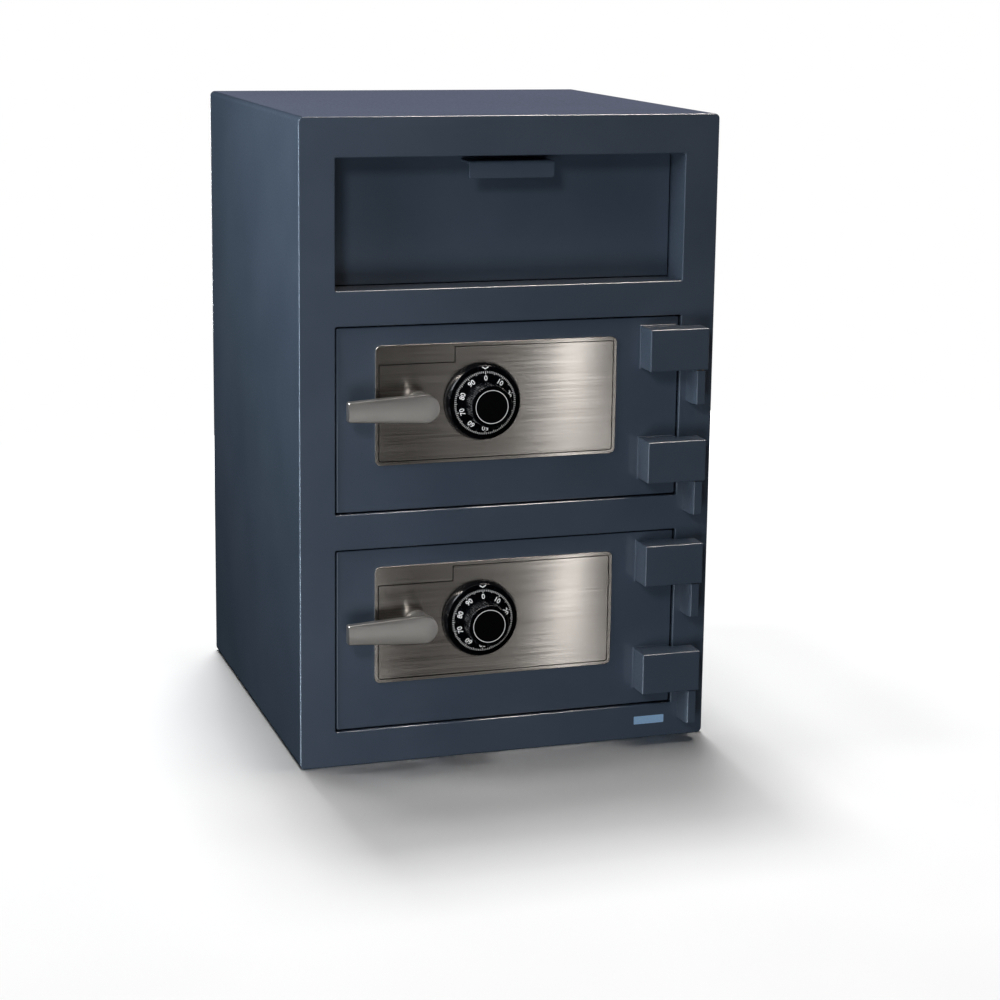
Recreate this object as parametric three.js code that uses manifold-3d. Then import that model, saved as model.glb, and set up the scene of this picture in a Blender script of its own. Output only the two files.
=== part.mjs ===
import * as THREE from 'three';
import { mergeVertices } from 'three/addons/utils/BufferGeometryUtils.js';
import Module from 'manifold-3d';

const wasm = await Module();
wasm.setup();

// A steel drop safe: a tilting deposit hopper over two separately locked doors.
// Millimetres, X to the right, Y to the back, Z up, origin in the middle of the base.

// Body
const safeWidth = 508;
const safeDepth = 508;
const safeHeight = 762;
const bodyWall = 4.8;
const frameSheet = 6;
const rearSheet = 4.8;
const shelfSheet = 4.8;
const bodyCornerRadius = 6;
const frameEdgeRadius = 4.5;
const rearEdgeRadius = 2.5;
const weldGap = 0.3;

// Rails of the front frame round its three openings, and the height of the top one
const sideRail = 42;
const bottomRail = 42;
const middleRail = 42;
const hopperRail = 41;
const topRail = 46;
const hopperOpeningHeight = 151;
const openingCornerRadius = 2;
const returnDepth = 14;
const returnSheet = 4.8;

// Door plate
const doorGap = 2;
const doorRecess = 3;
const doorThickness = 12.7;
const doorEdgeRadius = 1.5;
const doorCornerRadius = 2;

// Trim plate behind the dial and the lever
const trimLeftMargin = 45.5;
const trimRightMargin = 78.5;
const trimTopMargin = 21.5;
const trimBottomMargin = 53.5;
const trimThickness = 1.5;
const trimCornerRadius = 7;
const trimEdge = 0.5;

// Axes of the lever and the dial: above the middle of the door, in from its edge, and apart
const lockLineHeight = 16.5;
const leverInset = 96.5;
const leverToDial = 78;

// Hinges: a block on the door turns on the pin of a post on the frame
const hingeAxisOutset = 16.5;
const hingeAxisProud = 16;
const hingeBlockWidth = 74;
const hingeBlockHeight = 50;
const hingeBlockProud = 30;
const hingeBlockOverhang = 8;
const hingeFrameGap = 3;
const hingeBlockRadius = 3;
const hingeBlockEdge = 1;
const hingeStepInset = 2;
const hingePostWidth = 16;
const hingePostProud = 28;
const hingePostHeight = 41;
const hingePostRadius = 2.5;
const hingePinRadius = 4.75;
const hingePinHeight = 24;
const hingePinGap = 0.3;
const hingeBoreSpare = 2;
const washerThickness = 1;
const washerRadius = 7.5;
const topHingeShare = 0.336;
const bottomHingeShare = 0.289;

// Inner cover over the boltwork
const coverWall = 2;
const coverSideMargin = 7;
const coverHingeMargin = 26;
const coverEndMargin = 7;
const coverBackGap = 6;
const coverCornerRadius = 6;
const coverEdgeRadius = 3;

// Dead bar that hooks behind the frame on the hinge side
const deadBarInset = 3;
const deadBarFootWidth = 19;
const deadBarFootThickness = 3.3;
const deadBarThickness = 10;
const deadBarHook = 13;
const deadBarBevel = 3;
const deadBarEndMargin = 18;

// Locking bolts, their bar and their guide
const boltRadius = 10;
const boltTipBevel = 2;
const boltLength = 53;
const boltDoorGap = 2.3;
const boltInset = 35;
const boltFit = 0.3;
const boltThrow = 32;
const guideThickness = 6;
const guideBackWall = 3.7;
const guideEndWall = 2;
const guideFoot = 13;
const guideFootThickness = 3;
const guideStandoff = 4;
const barFlange = 5;
const barWeb = 6;
const barLegWidth = 18;
const barLockGap = 1.5;
const barArmHeight = 25.5;
const barArmReach = 52;
const barSlotMargin = 7;

// Lever, its shaft and the crank that throws the bolts
const leverHubRadius = 16.75;
const leverTipHeight = 23;
const leverLength = 91.5;
const leverThickness = 11;
const leverEdge = 1.2;
const leverProud = 34;
const neckRadius = 9.5;
const neckFlare = 2.5;
const neckFit = 0.3;
const collarRadius = 15;
const collarThickness = 6;
const collarEdge = 2;
const shaftRadius = 6;
const shaftFit = 0.3;
const shaftHoleSpare = 1;
const crankRadius = 32;
const crankSwing = THREE.MathUtils.degToRad(60);
const crankHubRadius = 12;
const crankEndRadius = 8;
const crankPinRadius = 5;
const crankDoorGap = 0.5;
const crankThickness = 7.3;
const crankBarGap = 1;
const crankPinSpare = 0.5;
const crankSlotFit = 0.5;
const crankSlotSpare = 1;

// Dial and its ring
const ringRadius = 46;
const ringHeight = 11;
const ringEdge = 2;
const ringShoulder = 7;
const ringRecess = 6;
const dialRadius = 38;
const dialFit = 0.4;
const dialRimHeight = 5;
const dialConeRise = 3;
const dialBandWidth = 12;
const knobRadius = 25;
const knobHeight = 38.5;
const knobEdge = 2;
const knobFlutes = 24;
const knobFluteDepth = 0.8;
const spindleRadius = 4;
const spindleFit = 1;
const spindleEndGap = 2;

// Combination lock
const lockWidth = 61;
const lockHeight = 84;
const lockThickness = 27;
const lockCornerRadius = 5;
const lockEdge = 1.5;
const lockSpindleRise = 39;
const hardPlateThickness = 3;
const lockBoltWidth = 25.4;
const lockBoltThickness = 8;
const lockBoltLength = 22;
const lockBoltFit = 0.3;
const lockBoltProud = 0.5;
const lockBoltCorner = 1.5;
const notchFit = 0.5;
const notchDepth = 10;

// Deposit hopper, measured from its pivot
const pivotRise = 7;
const pivotPanelGap = 9;
const panelRecess = 44;
const panelThickness = 3;
const panelGap = 2;
const panelEdge = 0.8;
const tabWidth = 103;
const tabReach = 36;
const tabFace = 19.5;
const tabSheet = 3;
const tabBend = 4;
const tabDrop = 5;
const tabCornerRadius = 3;
const cheekSheet = 2.5;
const cheekInset = 1;
const cheekSweep = THREE.MathUtils.degToRad(128);
const cheekHubRadius = 14;
const scoopSheet = 2;
const scoopSlope = THREE.MathUtils.degToRad(35);
const scoopPivotGap = 9;
const scoopBaffleGap = 9;
const scoopFlange = 32;
const scoopHem = 9;
const scoopFit = 0.3;
const rodRadius = 4;
const rodFit = 0.3;
const rodHeadRadius = 7;
const rodHeadThickness = 4;

// Hopper housing and its fixed baffle
const housingSheet = 3;
const housingBend = 3;
const chuteClearance = 23;
const skirtGap = 14;
const floorPanelGap = 2.5;
const floorLip = 9;
const floorLipThickness = 3;
const baffleInset = 15;
const baffleSheet = 2.5;
const baffleFlange = 23;
const baffleEdge = 20;
const baffleTeeth = 12;
const baffleToothDepth = 12;
const baffleSideGap = 2.5;

// How far a cutter runs past what it cuts
const overrun = 1;

// Facets
const arcSteps = 2;
const edgeSteps = 2;
const turnSteps = 32;
const dialTurnSteps = 40;
const smallTurnSteps = 20;
const knobSteps = 4;

// Places worked out from the sizes above
const frontPlane = -safeDepth / 2;
const rearPlane = safeDepth / 2;
const openingWidth = safeWidth - 2 * sideRail;
const railHeights = bottomRail + middleRail + hopperRail + topRail;
const doorOpeningHeight = (safeHeight - railHeights - hopperOpeningHeight) / 2;
const lowerOpeningBottom = bottomRail;
const upperOpeningBottom = lowerOpeningBottom + doorOpeningHeight + middleRail;
const hopperOpeningBottom = upperOpeningBottom + doorOpeningHeight + hopperRail;
const lowerDoorCentre = lowerOpeningBottom + doorOpeningHeight / 2;
const upperDoorCentre = upperOpeningBottom + doorOpeningHeight / 2;
const halfOpening = openingWidth / 2;
const halfDoorWidth = halfOpening - doorGap;
const doorHeight = doorOpeningHeight - 2 * doorGap;
const doorBack = doorRecess + doorThickness;
const trimFace = doorRecess - trimThickness;
const leverAxisX = leverInset - halfDoorWidth;
const dialAxisX = leverAxisX + leverToDial;
const hingeAxisX = halfOpening + hingeAxisOutset;
const coverLeft = halfDoorWidth - coverSideMargin;
const coverRight = halfDoorWidth - coverHingeMargin;
const coverHalfHeight = doorHeight / 2 - coverEndMargin;
const coverDepth = hardPlateThickness + lockThickness + coverBackGap + coverWall;
const boltSetback = doorBack + boltDoorGap + boltRadius;
const boltSpread = coverHalfHeight - boltInset;
const guideHalfHeight = boltSpread + boltRadius + guideEndWall;
const barFlangeX = boltLength - coverLeft;
const crankSetback = doorBack + crankDoorGap;
const crankBack = crankSetback + crankThickness;
const barWebSetback = crankBack + crankBarGap;
const lockBoltSetback = barWebSetback + (barWeb - lockBoltThickness) / 2;
const cheekOuter = halfOpening - panelGap - cheekInset;
const cheekInner = cheekOuter - cheekSheet;
const pivotSetback = panelRecess + panelThickness + pivotPanelGap;
const panelFront = panelRecess - pivotSetback;
const panelBack = panelFront + panelThickness;
const housingCeiling = hopperOpeningHeight - pivotRise;
const panelTop = housingCeiling - panelGap;
const panelBottom = panelGap - pivotRise;
const cheekRadius = panelTop;
const chuteDepth = cheekRadius + chuteClearance;
const housingSkirt = hopperRail + pivotRise - skirtGap;
const floorEndGap = floorPanelGap - panelFront;
const baffleSetback = cheekRadius - baffleInset;
const scoopLength = baffleSetback - scoopBaffleGap;
const lockBottom = lockLineHeight - lockSpindleRise;
const crankPinX = leverAxisX + crankRadius * Math.sin(crankSwing / 2);

// Finishes
function finish(color, metalness, roughness) {
  return { color, metalness, roughness };
}

const finishes = {
  bodyPaint: finish('#3b4350', 0.1, 0.55),
  doorPaint: finish('#39424f', 0.1, 0.5),
  innerPaint: finish('#474c55', 0.1, 0.6),
  trimSteel: finish('#6a625c', 0.9, 0.35),
  nickel: finish('#8f8b85', 0.9, 0.3),
  blackEnamel: finish('#0d0f13', 0.2, 0.15),
  brass: finish('#b08a45', 0.9, 0.3),
  zincSteel: finish('#9a9fa5', 0.8, 0.4),
  hardSteel: finish('#4a4a4c', 0.8, 0.5),
  lockAlloy: finish('#a3a39f', 0.7, 0.45),
};

// Merges the corners of a geometry so that it is one closed mesh with its faces pointing out.
function closedMesh(source) {
  const bare = source.clone();
  bare.deleteAttribute('normal');
  bare.deleteAttribute('uv');
  const merged = mergeVertices(bare, 1e-4);
  const corners = merged.index.array;
  const place = merged.attributes.position;
  const kept = [];
  let volume = 0;
  for (let i = 0; i < corners.length; i += 3) {
    const [a, b, c] = [corners[i], corners[i + 1], corners[i + 2]];
    if (a === b || b === c || c === a) continue;
    const pointA = new THREE.Vector3().fromBufferAttribute(place, a);
    const pointB = new THREE.Vector3().fromBufferAttribute(place, b);
    const pointC = new THREE.Vector3().fromBufferAttribute(place, c);
    volume += pointA.dot(pointB.cross(pointC));
    kept.push(a, b, c);
  }
  if (volume < 0) kept.reverse();
  merged.setIndex(kept);
  return merged;
}

function solidFrom(geometry) {
  const closed = closedMesh(geometry);
  return new wasm.Manifold(new wasm.Mesh({
    numProp: 3,
    vertProperties: Float32Array.from(closed.attributes.position.array),
    triVerts: Uint32Array.from(closed.index.array),
  }));
}

function geometryFrom(solid) {
  const mesh = solid.getMesh();
  const geometry = new THREE.BufferGeometry();
  geometry.setAttribute('position', new THREE.BufferAttribute(mesh.vertProperties, 3));
  geometry.setIndex(new THREE.BufferAttribute(mesh.triVerts, 1));
  return geometry;
}

function join(first, ...others) {
  let solid = solidFrom(first);
  for (const other of others) solid = solid.add(solidFrom(other));
  return geometryFrom(solid);
}

function cut(first, ...cutters) {
  let solid = solidFrom(first);
  for (const cutter of cutters) solid = solid.subtract(solidFrom(cutter));
  return geometryFrom(solid);
}

// A rectangle with round corners, from its lowest to its highest corner.
function roundedRectangle(left, bottom, right, top, radius, outline = new THREE.Shape()) {
  outline.moveTo(left + radius, bottom);
  outline.lineTo(right - radius, bottom);
  outline.absarc(right - radius, bottom + radius, radius, -Math.PI / 2, 0, false);
  outline.lineTo(right, top - radius);
  outline.absarc(right - radius, top - radius, radius, 0, Math.PI / 2, false);
  outline.lineTo(left + radius, top);
  outline.absarc(left + radius, top - radius, radius, Math.PI / 2, Math.PI, false);
  outline.lineTo(left, bottom + radius);
  outline.absarc(left + radius, bottom + radius, radius, Math.PI, Math.PI * 1.5, false);
  return outline;
}

// A hole whose flats lie at its radius, so that a round piece of that size passes through.
function roundHole(shape, x, y, radius) {
  const reach = radius / Math.cos(Math.PI / smallTurnSteps);
  const points = [];
  for (let step = 0; step < smallTurnSteps; step += 1) {
    const angle = step / smallTurnSteps * Math.PI * 2;
    points.push(new THREE.Vector2(x + reach * Math.cos(angle), y + reach * Math.sin(angle)));
  }
  shape.holes.push(new THREE.Path(points));
}

function polygon(points) {
  return new THREE.Shape(points.map(([x, y]) => new THREE.Vector2(x, y)));
}

// A round hub that tapers along X to a smaller round end.
function linkOutline(hubRadius, endRadius, length) {
  const tangent = Math.acos((hubRadius - endRadius) / length);
  const outline = new THREE.Shape();
  outline.absarc(0, 0, hubRadius, tangent, Math.PI * 2 - tangent, false);
  outline.absarc(length, 0, endRadius, -tangent, tangent, false);
  return outline;
}

// Extrudes an outline from one level to another, with its edges eased by the bevel.
function extrude(outline, from, to, bevel = 0, steps = arcSteps) {
  const geometry = new THREE.ExtrudeGeometry(outline, {
    depth: to - from - 2 * bevel,
    curveSegments: steps,
    bevelEnabled: bevel > 0,
    bevelThickness: bevel,
    bevelSize: bevel,
    bevelOffset: -bevel,
    bevelSegments: edgeSteps,
  });
  return geometry.translate(0, 0, from + bevel);
}

const axisX = new THREE.Vector3(1, 0, 0);
const axisY = new THREE.Vector3(0, 1, 0);
const axisZ = new THREE.Vector3(0, 0, 1);
const standing = new THREE.Matrix4().makeBasis(axisX, axisZ, axisY.clone().negate());
const sideways = new THREE.Matrix4().makeBasis(axisY, axisZ, axisX);

// A plate drawn in X and Z, from its front face to its back face.
function plate(outline, front, back, bevel, steps) {
  return extrude(outline, -back, -front, bevel, steps).applyMatrix4(standing);
}

// A bar whose section is drawn in Y and Z, from left to right.
function crossBar(outline, left, right, bevel, steps) {
  return extrude(outline, left, right, bevel, steps).applyMatrix4(sideways);
}

// A slab that covers everything behind a level, for cutting one face of a plate flat.
function slabBehind(level, reach) {
  return new THREE.BoxGeometry(reach, reach, reach).translate(0, level + reach / 2, 0);
}

// A plate with a rounded front edge and a sharp back edge.
function easedPlate(outline, front, back, radius, reach) {
  return cut(plate(outline, front, back + radius + overrun, radius), slabBehind(back, reach));
}

// A plate with a sharp front edge and a rounded back edge.
function easedBackPlate(outline, front, back, radius, reach) {
  const slab = slabBehind(front - reach, reach);
  return cut(plate(outline, front - radius - overrun, back, radius), slab);
}

// A turned piece about an axis along Y through x and z; points are radius and depth.
function turned(points, x, z, steps = turnSteps) {
  const profile = points.map(([radius, depth]) => new THREE.Vector2(radius, depth));
  return new THREE.LatheGeometry(profile, steps).translate(x, 0, z);
}

function rod(radius, front, back, x, z, steps = smallTurnSteps) {
  return turned([[0, front], [radius, front], [radius, back], [0, back]], x, z, steps);
}

function hingeRod(radius, bottom, top, steps = smallTurnSteps) {
  const profile = [[0, bottom], [radius, bottom], [radius, top], [0, top]];
  return turned(profile, 0, 0, steps)
    .rotateX(Math.PI / 2)
    .translate(hingeAxisX, -hingeAxisProud, 0);
}

const part = new THREE.Group();

function addPiece(group, name, geometry, look) {
  const mesh = new THREE.Mesh(closedMesh(geometry), new THREE.MeshStandardMaterial(look));
  mesh.name = name;
  group.add(mesh);
}

// Safe body

function bodyOutline(inset = 0, outline = new THREE.Shape()) {
  const half = safeWidth / 2 - inset;
  const radius = Math.max(bodyCornerRadius - inset, weldGap);
  return roundedRectangle(-half, inset, half, safeHeight - inset, radius, outline);
}

function bodyWrap() {
  const outline = bodyOutline();
  outline.holes.push(bodyOutline(bodyWall, new THREE.Path()));
  return plate(outline, frontPlane + frameSheet, rearPlane - rearSheet);
}

function openingOutline(bottom, height, grow, outline) {
  const half = halfOpening + grow;
  const radius = openingCornerRadius + grow;
  return roundedRectangle(-half, bottom - grow, half, bottom + height + grow, radius, outline);
}

function returnFlange(bottom) {
  const outline = openingOutline(bottom, doorOpeningHeight, returnSheet, new THREE.Shape());
  outline.holes.push(openingOutline(bottom, doorOpeningHeight, 0, new THREE.Path()));
  return plate(outline, frontPlane + frameEdgeRadius, frontPlane + returnDepth);
}

function frontFrame() {
  const outline = bodyOutline();
  outline.holes.push(
    openingOutline(lowerOpeningBottom, doorOpeningHeight, 0, new THREE.Path()),
    openingOutline(upperOpeningBottom, doorOpeningHeight, 0, new THREE.Path()),
    openingOutline(hopperOpeningBottom, hopperOpeningHeight, 0, new THREE.Path()),
  );
  const reach = 4 * safeHeight;
  const back = frontPlane + frameSheet;
  const face = easedPlate(outline, frontPlane, back, frameEdgeRadius, reach);
  return join(face, returnFlange(lowerOpeningBottom), returnFlange(upperOpeningBottom));
}

function rearPanel() {
  const reach = 4 * safeHeight;
  return easedBackPlate(bodyOutline(), rearPlane - rearSheet, rearPlane, rearEdgeRadius, reach);
}

function dividerShelf() {
  const half = safeWidth / 2 - bodyWall - weldGap;
  const middle = lowerOpeningBottom + doorOpeningHeight + middleRail / 2;
  const front = frontPlane + frameSheet + weldGap;
  const back = rearPlane - rearSheet - weldGap;
  const outline = new THREE.Shape();
  roundedRectangle(-half, front, half, back, shelfSheet, outline);
  return extrude(outline, middle - shelfSheet / 2, middle + shelfSheet / 2);
}

addPiece(part, 'body_wrap', bodyWrap(), finishes.bodyPaint);
addPiece(part, 'front_frame', frontFrame(), finishes.bodyPaint);
addPiece(part, 'rear_panel', rearPanel(), finishes.bodyPaint);
addPiece(part, 'divider_shelf', dividerShelf(), finishes.innerPaint);

// Deposit hopper: everything here is drawn from the pivot, Y back and Z up.

const hopperGroup = new THREE.Group();
hopperGroup.position.set(0, frontPlane + pivotSetback, hopperOpeningBottom + pivotRise);
part.add(hopperGroup);

function hopperHousing() {
  const front = frameSheet - pivotSetback;
  const rear = chuteDepth + housingSheet;
  const top = housingCeiling + housingSheet;
  const bend = housingBend + housingSheet;
  const half = halfOpening + housingSheet;
  const floorTop = -pivotRise;
  const floorBottom = floorTop - housingSheet;

  const roof = new THREE.Shape();
  roof.moveTo(front, housingCeiling);
  roof.lineTo(chuteDepth - housingBend, housingCeiling);
  roof.absarc(chuteDepth - housingBend, top - bend, housingBend, Math.PI / 2, 0, true);
  roof.lineTo(chuteDepth, -housingSkirt);
  roof.lineTo(rear, -housingSkirt);
  roof.lineTo(rear, top - bend);
  roof.absarc(rear - bend, top - bend, bend, 0, Math.PI / 2, false);
  roof.lineTo(front, top);

  const floor = polygon([
    [front, floorBottom],
    [-floorEndGap - floorLipThickness, floorBottom],
    [-floorEndGap - floorLipThickness, floorTop - floorLip],
    [-floorEndGap, floorTop - floorLip],
    [-floorEndGap, floorTop],
    [front, floorTop],
  ]);

  const side = new THREE.Shape();
  side.moveTo(front, floorBottom);
  side.lineTo(-floorEndGap - floorLipThickness, floorBottom);
  side.lineTo(-floorEndGap - floorLipThickness, -housingSkirt);
  side.lineTo(rear, -housingSkirt);
  side.lineTo(rear, top - bend);
  side.absarc(rear - bend, top - bend, bend, 0, Math.PI / 2, false);
  side.lineTo(front, top);
  roundHole(side, 0, 0, rodRadius + rodFit);

  return join(
    crossBar(roof, -half, half),
    crossBar(floor, -half, half),
    crossBar(side, -half, -halfOpening),
    crossBar(side, halfOpening, half),
  );
}

function fishingBaffle() {
  const half = cheekInner - baffleSideGap;
  const pitch = 2 * half / baffleTeeth;
  const points = [[half, housingCeiling], [-half, housingCeiling]];
  for (let tooth = 0; tooth < baffleTeeth; tooth += 1) {
    points.push([-half + tooth * pitch, baffleEdge]);
    points.push([-half + (tooth + 0.5) * pitch, baffleEdge - baffleToothDepth]);
  }
  points.push([half, baffleEdge]);
  const flange = polygon([
    [baffleSetback, housingCeiling - baffleSheet],
    [baffleSetback + baffleFlange, housingCeiling - baffleSheet],
    [baffleSetback + baffleFlange, housingCeiling],
    [baffleSetback, housingCeiling],
  ]);
  return join(
    plate(polygon(points), baffleSetback, baffleSetback + baffleSheet),
    crossBar(flange, -half, half),
  );
}

function hopperPanel() {
  const half = halfOpening - panelGap;
  const outline = roundedRectangle(-half, panelBottom, half, panelTop, openingCornerRadius);
  return plate(outline, panelFront, panelBack, panelEdge);
}

// The pull tab is one bent strip: an arm from the panel and a face that hangs from it.
function pullTab() {
  const top = panelTop - tabDrop;
  const front = panelFront - tabReach;
  const inner = tabBend - tabSheet;
  const bottom = top - tabFace;
  const section = new THREE.Shape();
  section.moveTo(panelFront, top);
  section.lineTo(front + tabBend, top);
  section.absarc(front + tabBend, top - tabBend, tabBend, Math.PI / 2, Math.PI, false);
  section.lineTo(front, bottom);
  section.lineTo(front + tabSheet, bottom);
  section.lineTo(front + tabSheet, top - tabBend);
  section.absarc(front + tabBend, top - tabBend, inner, Math.PI, Math.PI / 2, true);
  section.lineTo(panelFront, top - tabSheet);
  const strip = crossBar(section, -tabWidth / 2, tabWidth / 2, 0, 3);
  const half = tabWidth / 2;
  const face = new THREE.Shape();
  roundedRectangle(-half, bottom, half, top + tabCornerRadius + overrun, tabCornerRadius, face);
  const envelope = plate(face, front - overrun, panelFront + overrun);
  return geometryFrom(solidFrom(strip).intersect(solidFrom(envelope)));
}

// A cheek closes the side of the hopper from the panel round to the lip of the scoop.
function cheek(outer, inner) {
  const startAngle = Math.acos(panelBack / cheekRadius);
  const endAngle = startAngle - cheekSweep;
  const heel = Math.sqrt(cheekHubRadius ** 2 - panelBack ** 2);
  const outline = new THREE.Shape();
  outline.moveTo(panelBack, -heel);
  outline.absarc(0, 0, cheekHubRadius, -Math.acos(panelBack / cheekHubRadius),
    endAngle - Math.PI / 12, false);
  outline.lineTo(cheekRadius * Math.cos(endAngle), cheekRadius * Math.sin(endAngle));
  outline.absarc(0, 0, cheekRadius, endAngle, startAngle, false);
  roundHole(outline, 0, 0, rodRadius + rodFit);
  return crossBar(outline, Math.min(outer, inner), Math.max(outer, inner), 0, 10);
}

function depositScoop() {
  const along = new THREE.Vector2(Math.cos(scoopSlope), -Math.sin(scoopSlope));
  const above = new THREE.Vector2(Math.sin(scoopSlope), Math.cos(scoopSlope));
  const pointOn = (lift, run) => [
    above.x * lift + along.x * run,
    above.y * lift + along.y * run,
  ];
  const heightAt = (lift, depth) => (lift - above.x * depth) / above.y;
  const under = scoopPivotGap;
  const over = scoopPivotGap + scoopSheet;
  const flangeFace = panelBack + scoopSheet;
  const flangeTop = heightAt(over, flangeFace) + scoopFlange;
  const outline = polygon([
    [panelBack, flangeTop],
    [panelBack, heightAt(under, panelBack)],
    pointOn(under, scoopLength - scoopSheet),
    pointOn(under - scoopHem, scoopLength - scoopSheet),
    pointOn(under - scoopHem, scoopLength),
    pointOn(over, scoopLength),
    [flangeFace, heightAt(over, flangeFace)],
    [flangeFace, flangeTop],
  ]);
  const half = cheekInner - scoopFit;
  return crossBar(outline, -half, half);
}

function pivotRod() {
  const shoulder = halfOpening + housingSheet + rodFit;
  const end = shoulder + rodHeadThickness;
  const points = [
    [0, -end], [rodHeadRadius, -end], [rodHeadRadius, -shoulder], [rodRadius, -shoulder],
    [rodRadius, shoulder], [rodHeadRadius, shoulder], [rodHeadRadius, end], [0, end],
  ];
  return turned(points, 0, 0, smallTurnSteps).rotateZ(Math.PI / 2);
}

addPiece(hopperGroup, 'hopper_housing', hopperHousing(), finishes.innerPaint);
addPiece(hopperGroup, 'fishing_baffle', fishingBaffle(), finishes.innerPaint);
addPiece(hopperGroup, 'hopper_panel', hopperPanel(), finishes.doorPaint);
addPiece(hopperGroup, 'pull_tab', pullTab(), finishes.doorPaint);
addPiece(hopperGroup, 'left_cheek', cheek(-cheekOuter, -cheekInner), finishes.innerPaint);
addPiece(hopperGroup, 'right_cheek', cheek(cheekOuter, cheekInner), finishes.innerPaint);
addPiece(hopperGroup, 'deposit_scoop', depositScoop(), finishes.innerPaint);
addPiece(hopperGroup, 'pivot_rod', pivotRod(), finishes.zincSteel);

// Doors: drawn from the middle of the door, with Y measured back from the front plane.

function doorPlate() {
  const halfHeight = doorHeight / 2;
  const outline = new THREE.Shape();
  roundedRectangle(-halfDoorWidth, -halfHeight, halfDoorWidth, halfHeight, doorCornerRadius, outline);
  const face = easedPlate(outline, doorRecess, doorBack, doorEdgeRadius, 4 * openingWidth);
  const front = doorRecess - overrun;
  const back = doorBack + overrun;
  return cut(
    face,
    rod(shaftRadius + shaftHoleSpare, front, back, leverAxisX, lockLineHeight),
    rod(spindleRadius + spindleFit, front, back, dialAxisX, lockLineHeight),
  );
}

function trimPlate() {
  const outline = roundedRectangle(
    trimLeftMargin - halfDoorWidth,
    trimBottomMargin - doorHeight / 2,
    halfDoorWidth - trimRightMargin,
    doorHeight / 2 - trimTopMargin,
    trimCornerRadius,
  );
  const front = trimFace - overrun;
  const back = doorRecess + overrun;
  return cut(
    easedPlate(outline, trimFace, doorRecess, trimEdge, 4 * openingWidth),
    rod(shaftRadius + shaftHoleSpare, front, back, leverAxisX, lockLineHeight),
    rod(spindleRadius + spindleFit, front, back, dialAxisX, lockLineHeight),
  );
}

function hingeBlock(middle) {
  const right = hingeAxisX + hingeBlockOverhang;
  const left = right - hingeBlockWidth;
  const step = halfDoorWidth - hingeStepInset;
  const round = hingeBlockRadius;
  const outline = new THREE.Shape();
  outline.moveTo(left, doorRecess);
  outline.lineTo(left, round - hingeBlockProud);
  outline.absarc(left + round, round - hingeBlockProud, round, Math.PI, Math.PI * 1.5, false);
  outline.lineTo(right - round, -hingeBlockProud);
  outline.absarc(right - round, round - hingeBlockProud, round, -Math.PI / 2, 0, false);
  outline.lineTo(right, -hingeFrameGap - round);
  outline.absarc(right - round, -hingeFrameGap - round, round, 0, Math.PI / 2, false);
  outline.lineTo(step, -hingeFrameGap);
  outline.lineTo(step, doorRecess);
  const bottom = middle - hingeBlockHeight / 2;
  const top = middle + hingeBlockHeight / 2;
  const boreTop = bottom + hingePinHeight + hingeBoreSpare;
  return cut(
    extrude(outline, bottom, top, hingeBlockEdge),
    slabBehind(doorRecess, 4 * openingWidth),
    hingeRod(hingePinRadius + hingePinGap, bottom - overrun, boreTop),
  );
}

function hingePost(middle) {
  const top = middle - hingeBlockHeight / 2 - washerThickness;
  const bottom = top - hingePostHeight;
  const left = hingeAxisX - hingePostWidth / 2;
  const right = hingeAxisX + hingePostWidth / 2;
  const outline = new THREE.Shape();
  outline.moveTo(left, 0);
  outline.lineTo(left, hingePostRadius - hingePostProud);
  outline.absarc(left + hingePostRadius, hingePostRadius - hingePostProud, hingePostRadius,
    Math.PI, Math.PI * 1.5, false);
  outline.lineTo(right - hingePostRadius, -hingePostProud);
  outline.absarc(right - hingePostRadius, hingePostRadius - hingePostProud, hingePostRadius,
    -Math.PI / 2, 0, false);
  outline.lineTo(right, 0);
  return join(
    extrude(outline, bottom, top),
    hingeRod(hingePinRadius, bottom + hingePostHeight / 2, top + hingePinHeight),
  );
}

function hingeWasher(middle) {
  const top = middle - hingeBlockHeight / 2;
  const bottom = top - washerThickness;
  const bore = hingePinRadius + hingePinGap;
  const profile = [[bore, bottom], [washerRadius, bottom], [washerRadius, top], [bore, top],
    [bore, bottom]];
  return turned(profile, 0, 0, smallTurnSteps)
    .rotateX(Math.PI / 2)
    .translate(hingeAxisX, -hingeAxisProud, 0);
}

function innerCover() {
  const outline = (inset) => roundedRectangle(
    -coverLeft + inset,
    -coverHalfHeight + inset,
    coverRight - inset,
    coverHalfHeight - inset,
    coverCornerRadius - inset,
  );
  const back = doorBack + coverDepth;
  const shell = easedBackPlate(outline(0), doorBack, back, coverEdgeRadius, 4 * openingWidth);
  const hollow = plate(outline(coverWall), doorBack - overrun, back - coverWall);
  const hole = boltRadius + 2 * boltFit;
  return cut(
    shell,
    hollow,
    boltRod(hole, -coverLeft - overrun, coverWall + overrun - coverLeft, boltSpread),
    boltRod(hole, -coverLeft - overrun, coverWall + overrun - coverLeft, -boltSpread),
  );
}

function boltRod(radius, left, right, rise, bevel = 0) {
  const points = [[0, left], [radius - bevel, left]];
  if (bevel > 0) points.push([radius, left + bevel]);
  points.push([radius, right], [0, right]);
  const profile = points.map(([distance, x]) => new THREE.Vector2(distance, x));
  return new THREE.LatheGeometry(profile, smallTurnSteps)
    .rotateZ(-Math.PI / 2)
    .translate(0, boltSetback, rise);
}

function deadBar() {
  const left = coverRight + deadBarInset;
  const right = halfOpening + deadBarHook;
  const half = doorHeight / 2 - deadBarEndMargin;
  const front = doorBack + deadBarFootThickness;
  const back = front + deadBarThickness;
  const outline = polygon([
    [left, doorBack],
    [left + deadBarFootWidth, doorBack],
    [left + deadBarFootWidth, front],
    [right - deadBarBevel, front],
    [right, front + deadBarBevel],
    [right, back],
    [left, back],
  ]);
  return extrude(outline, -half, half);
}

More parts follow.
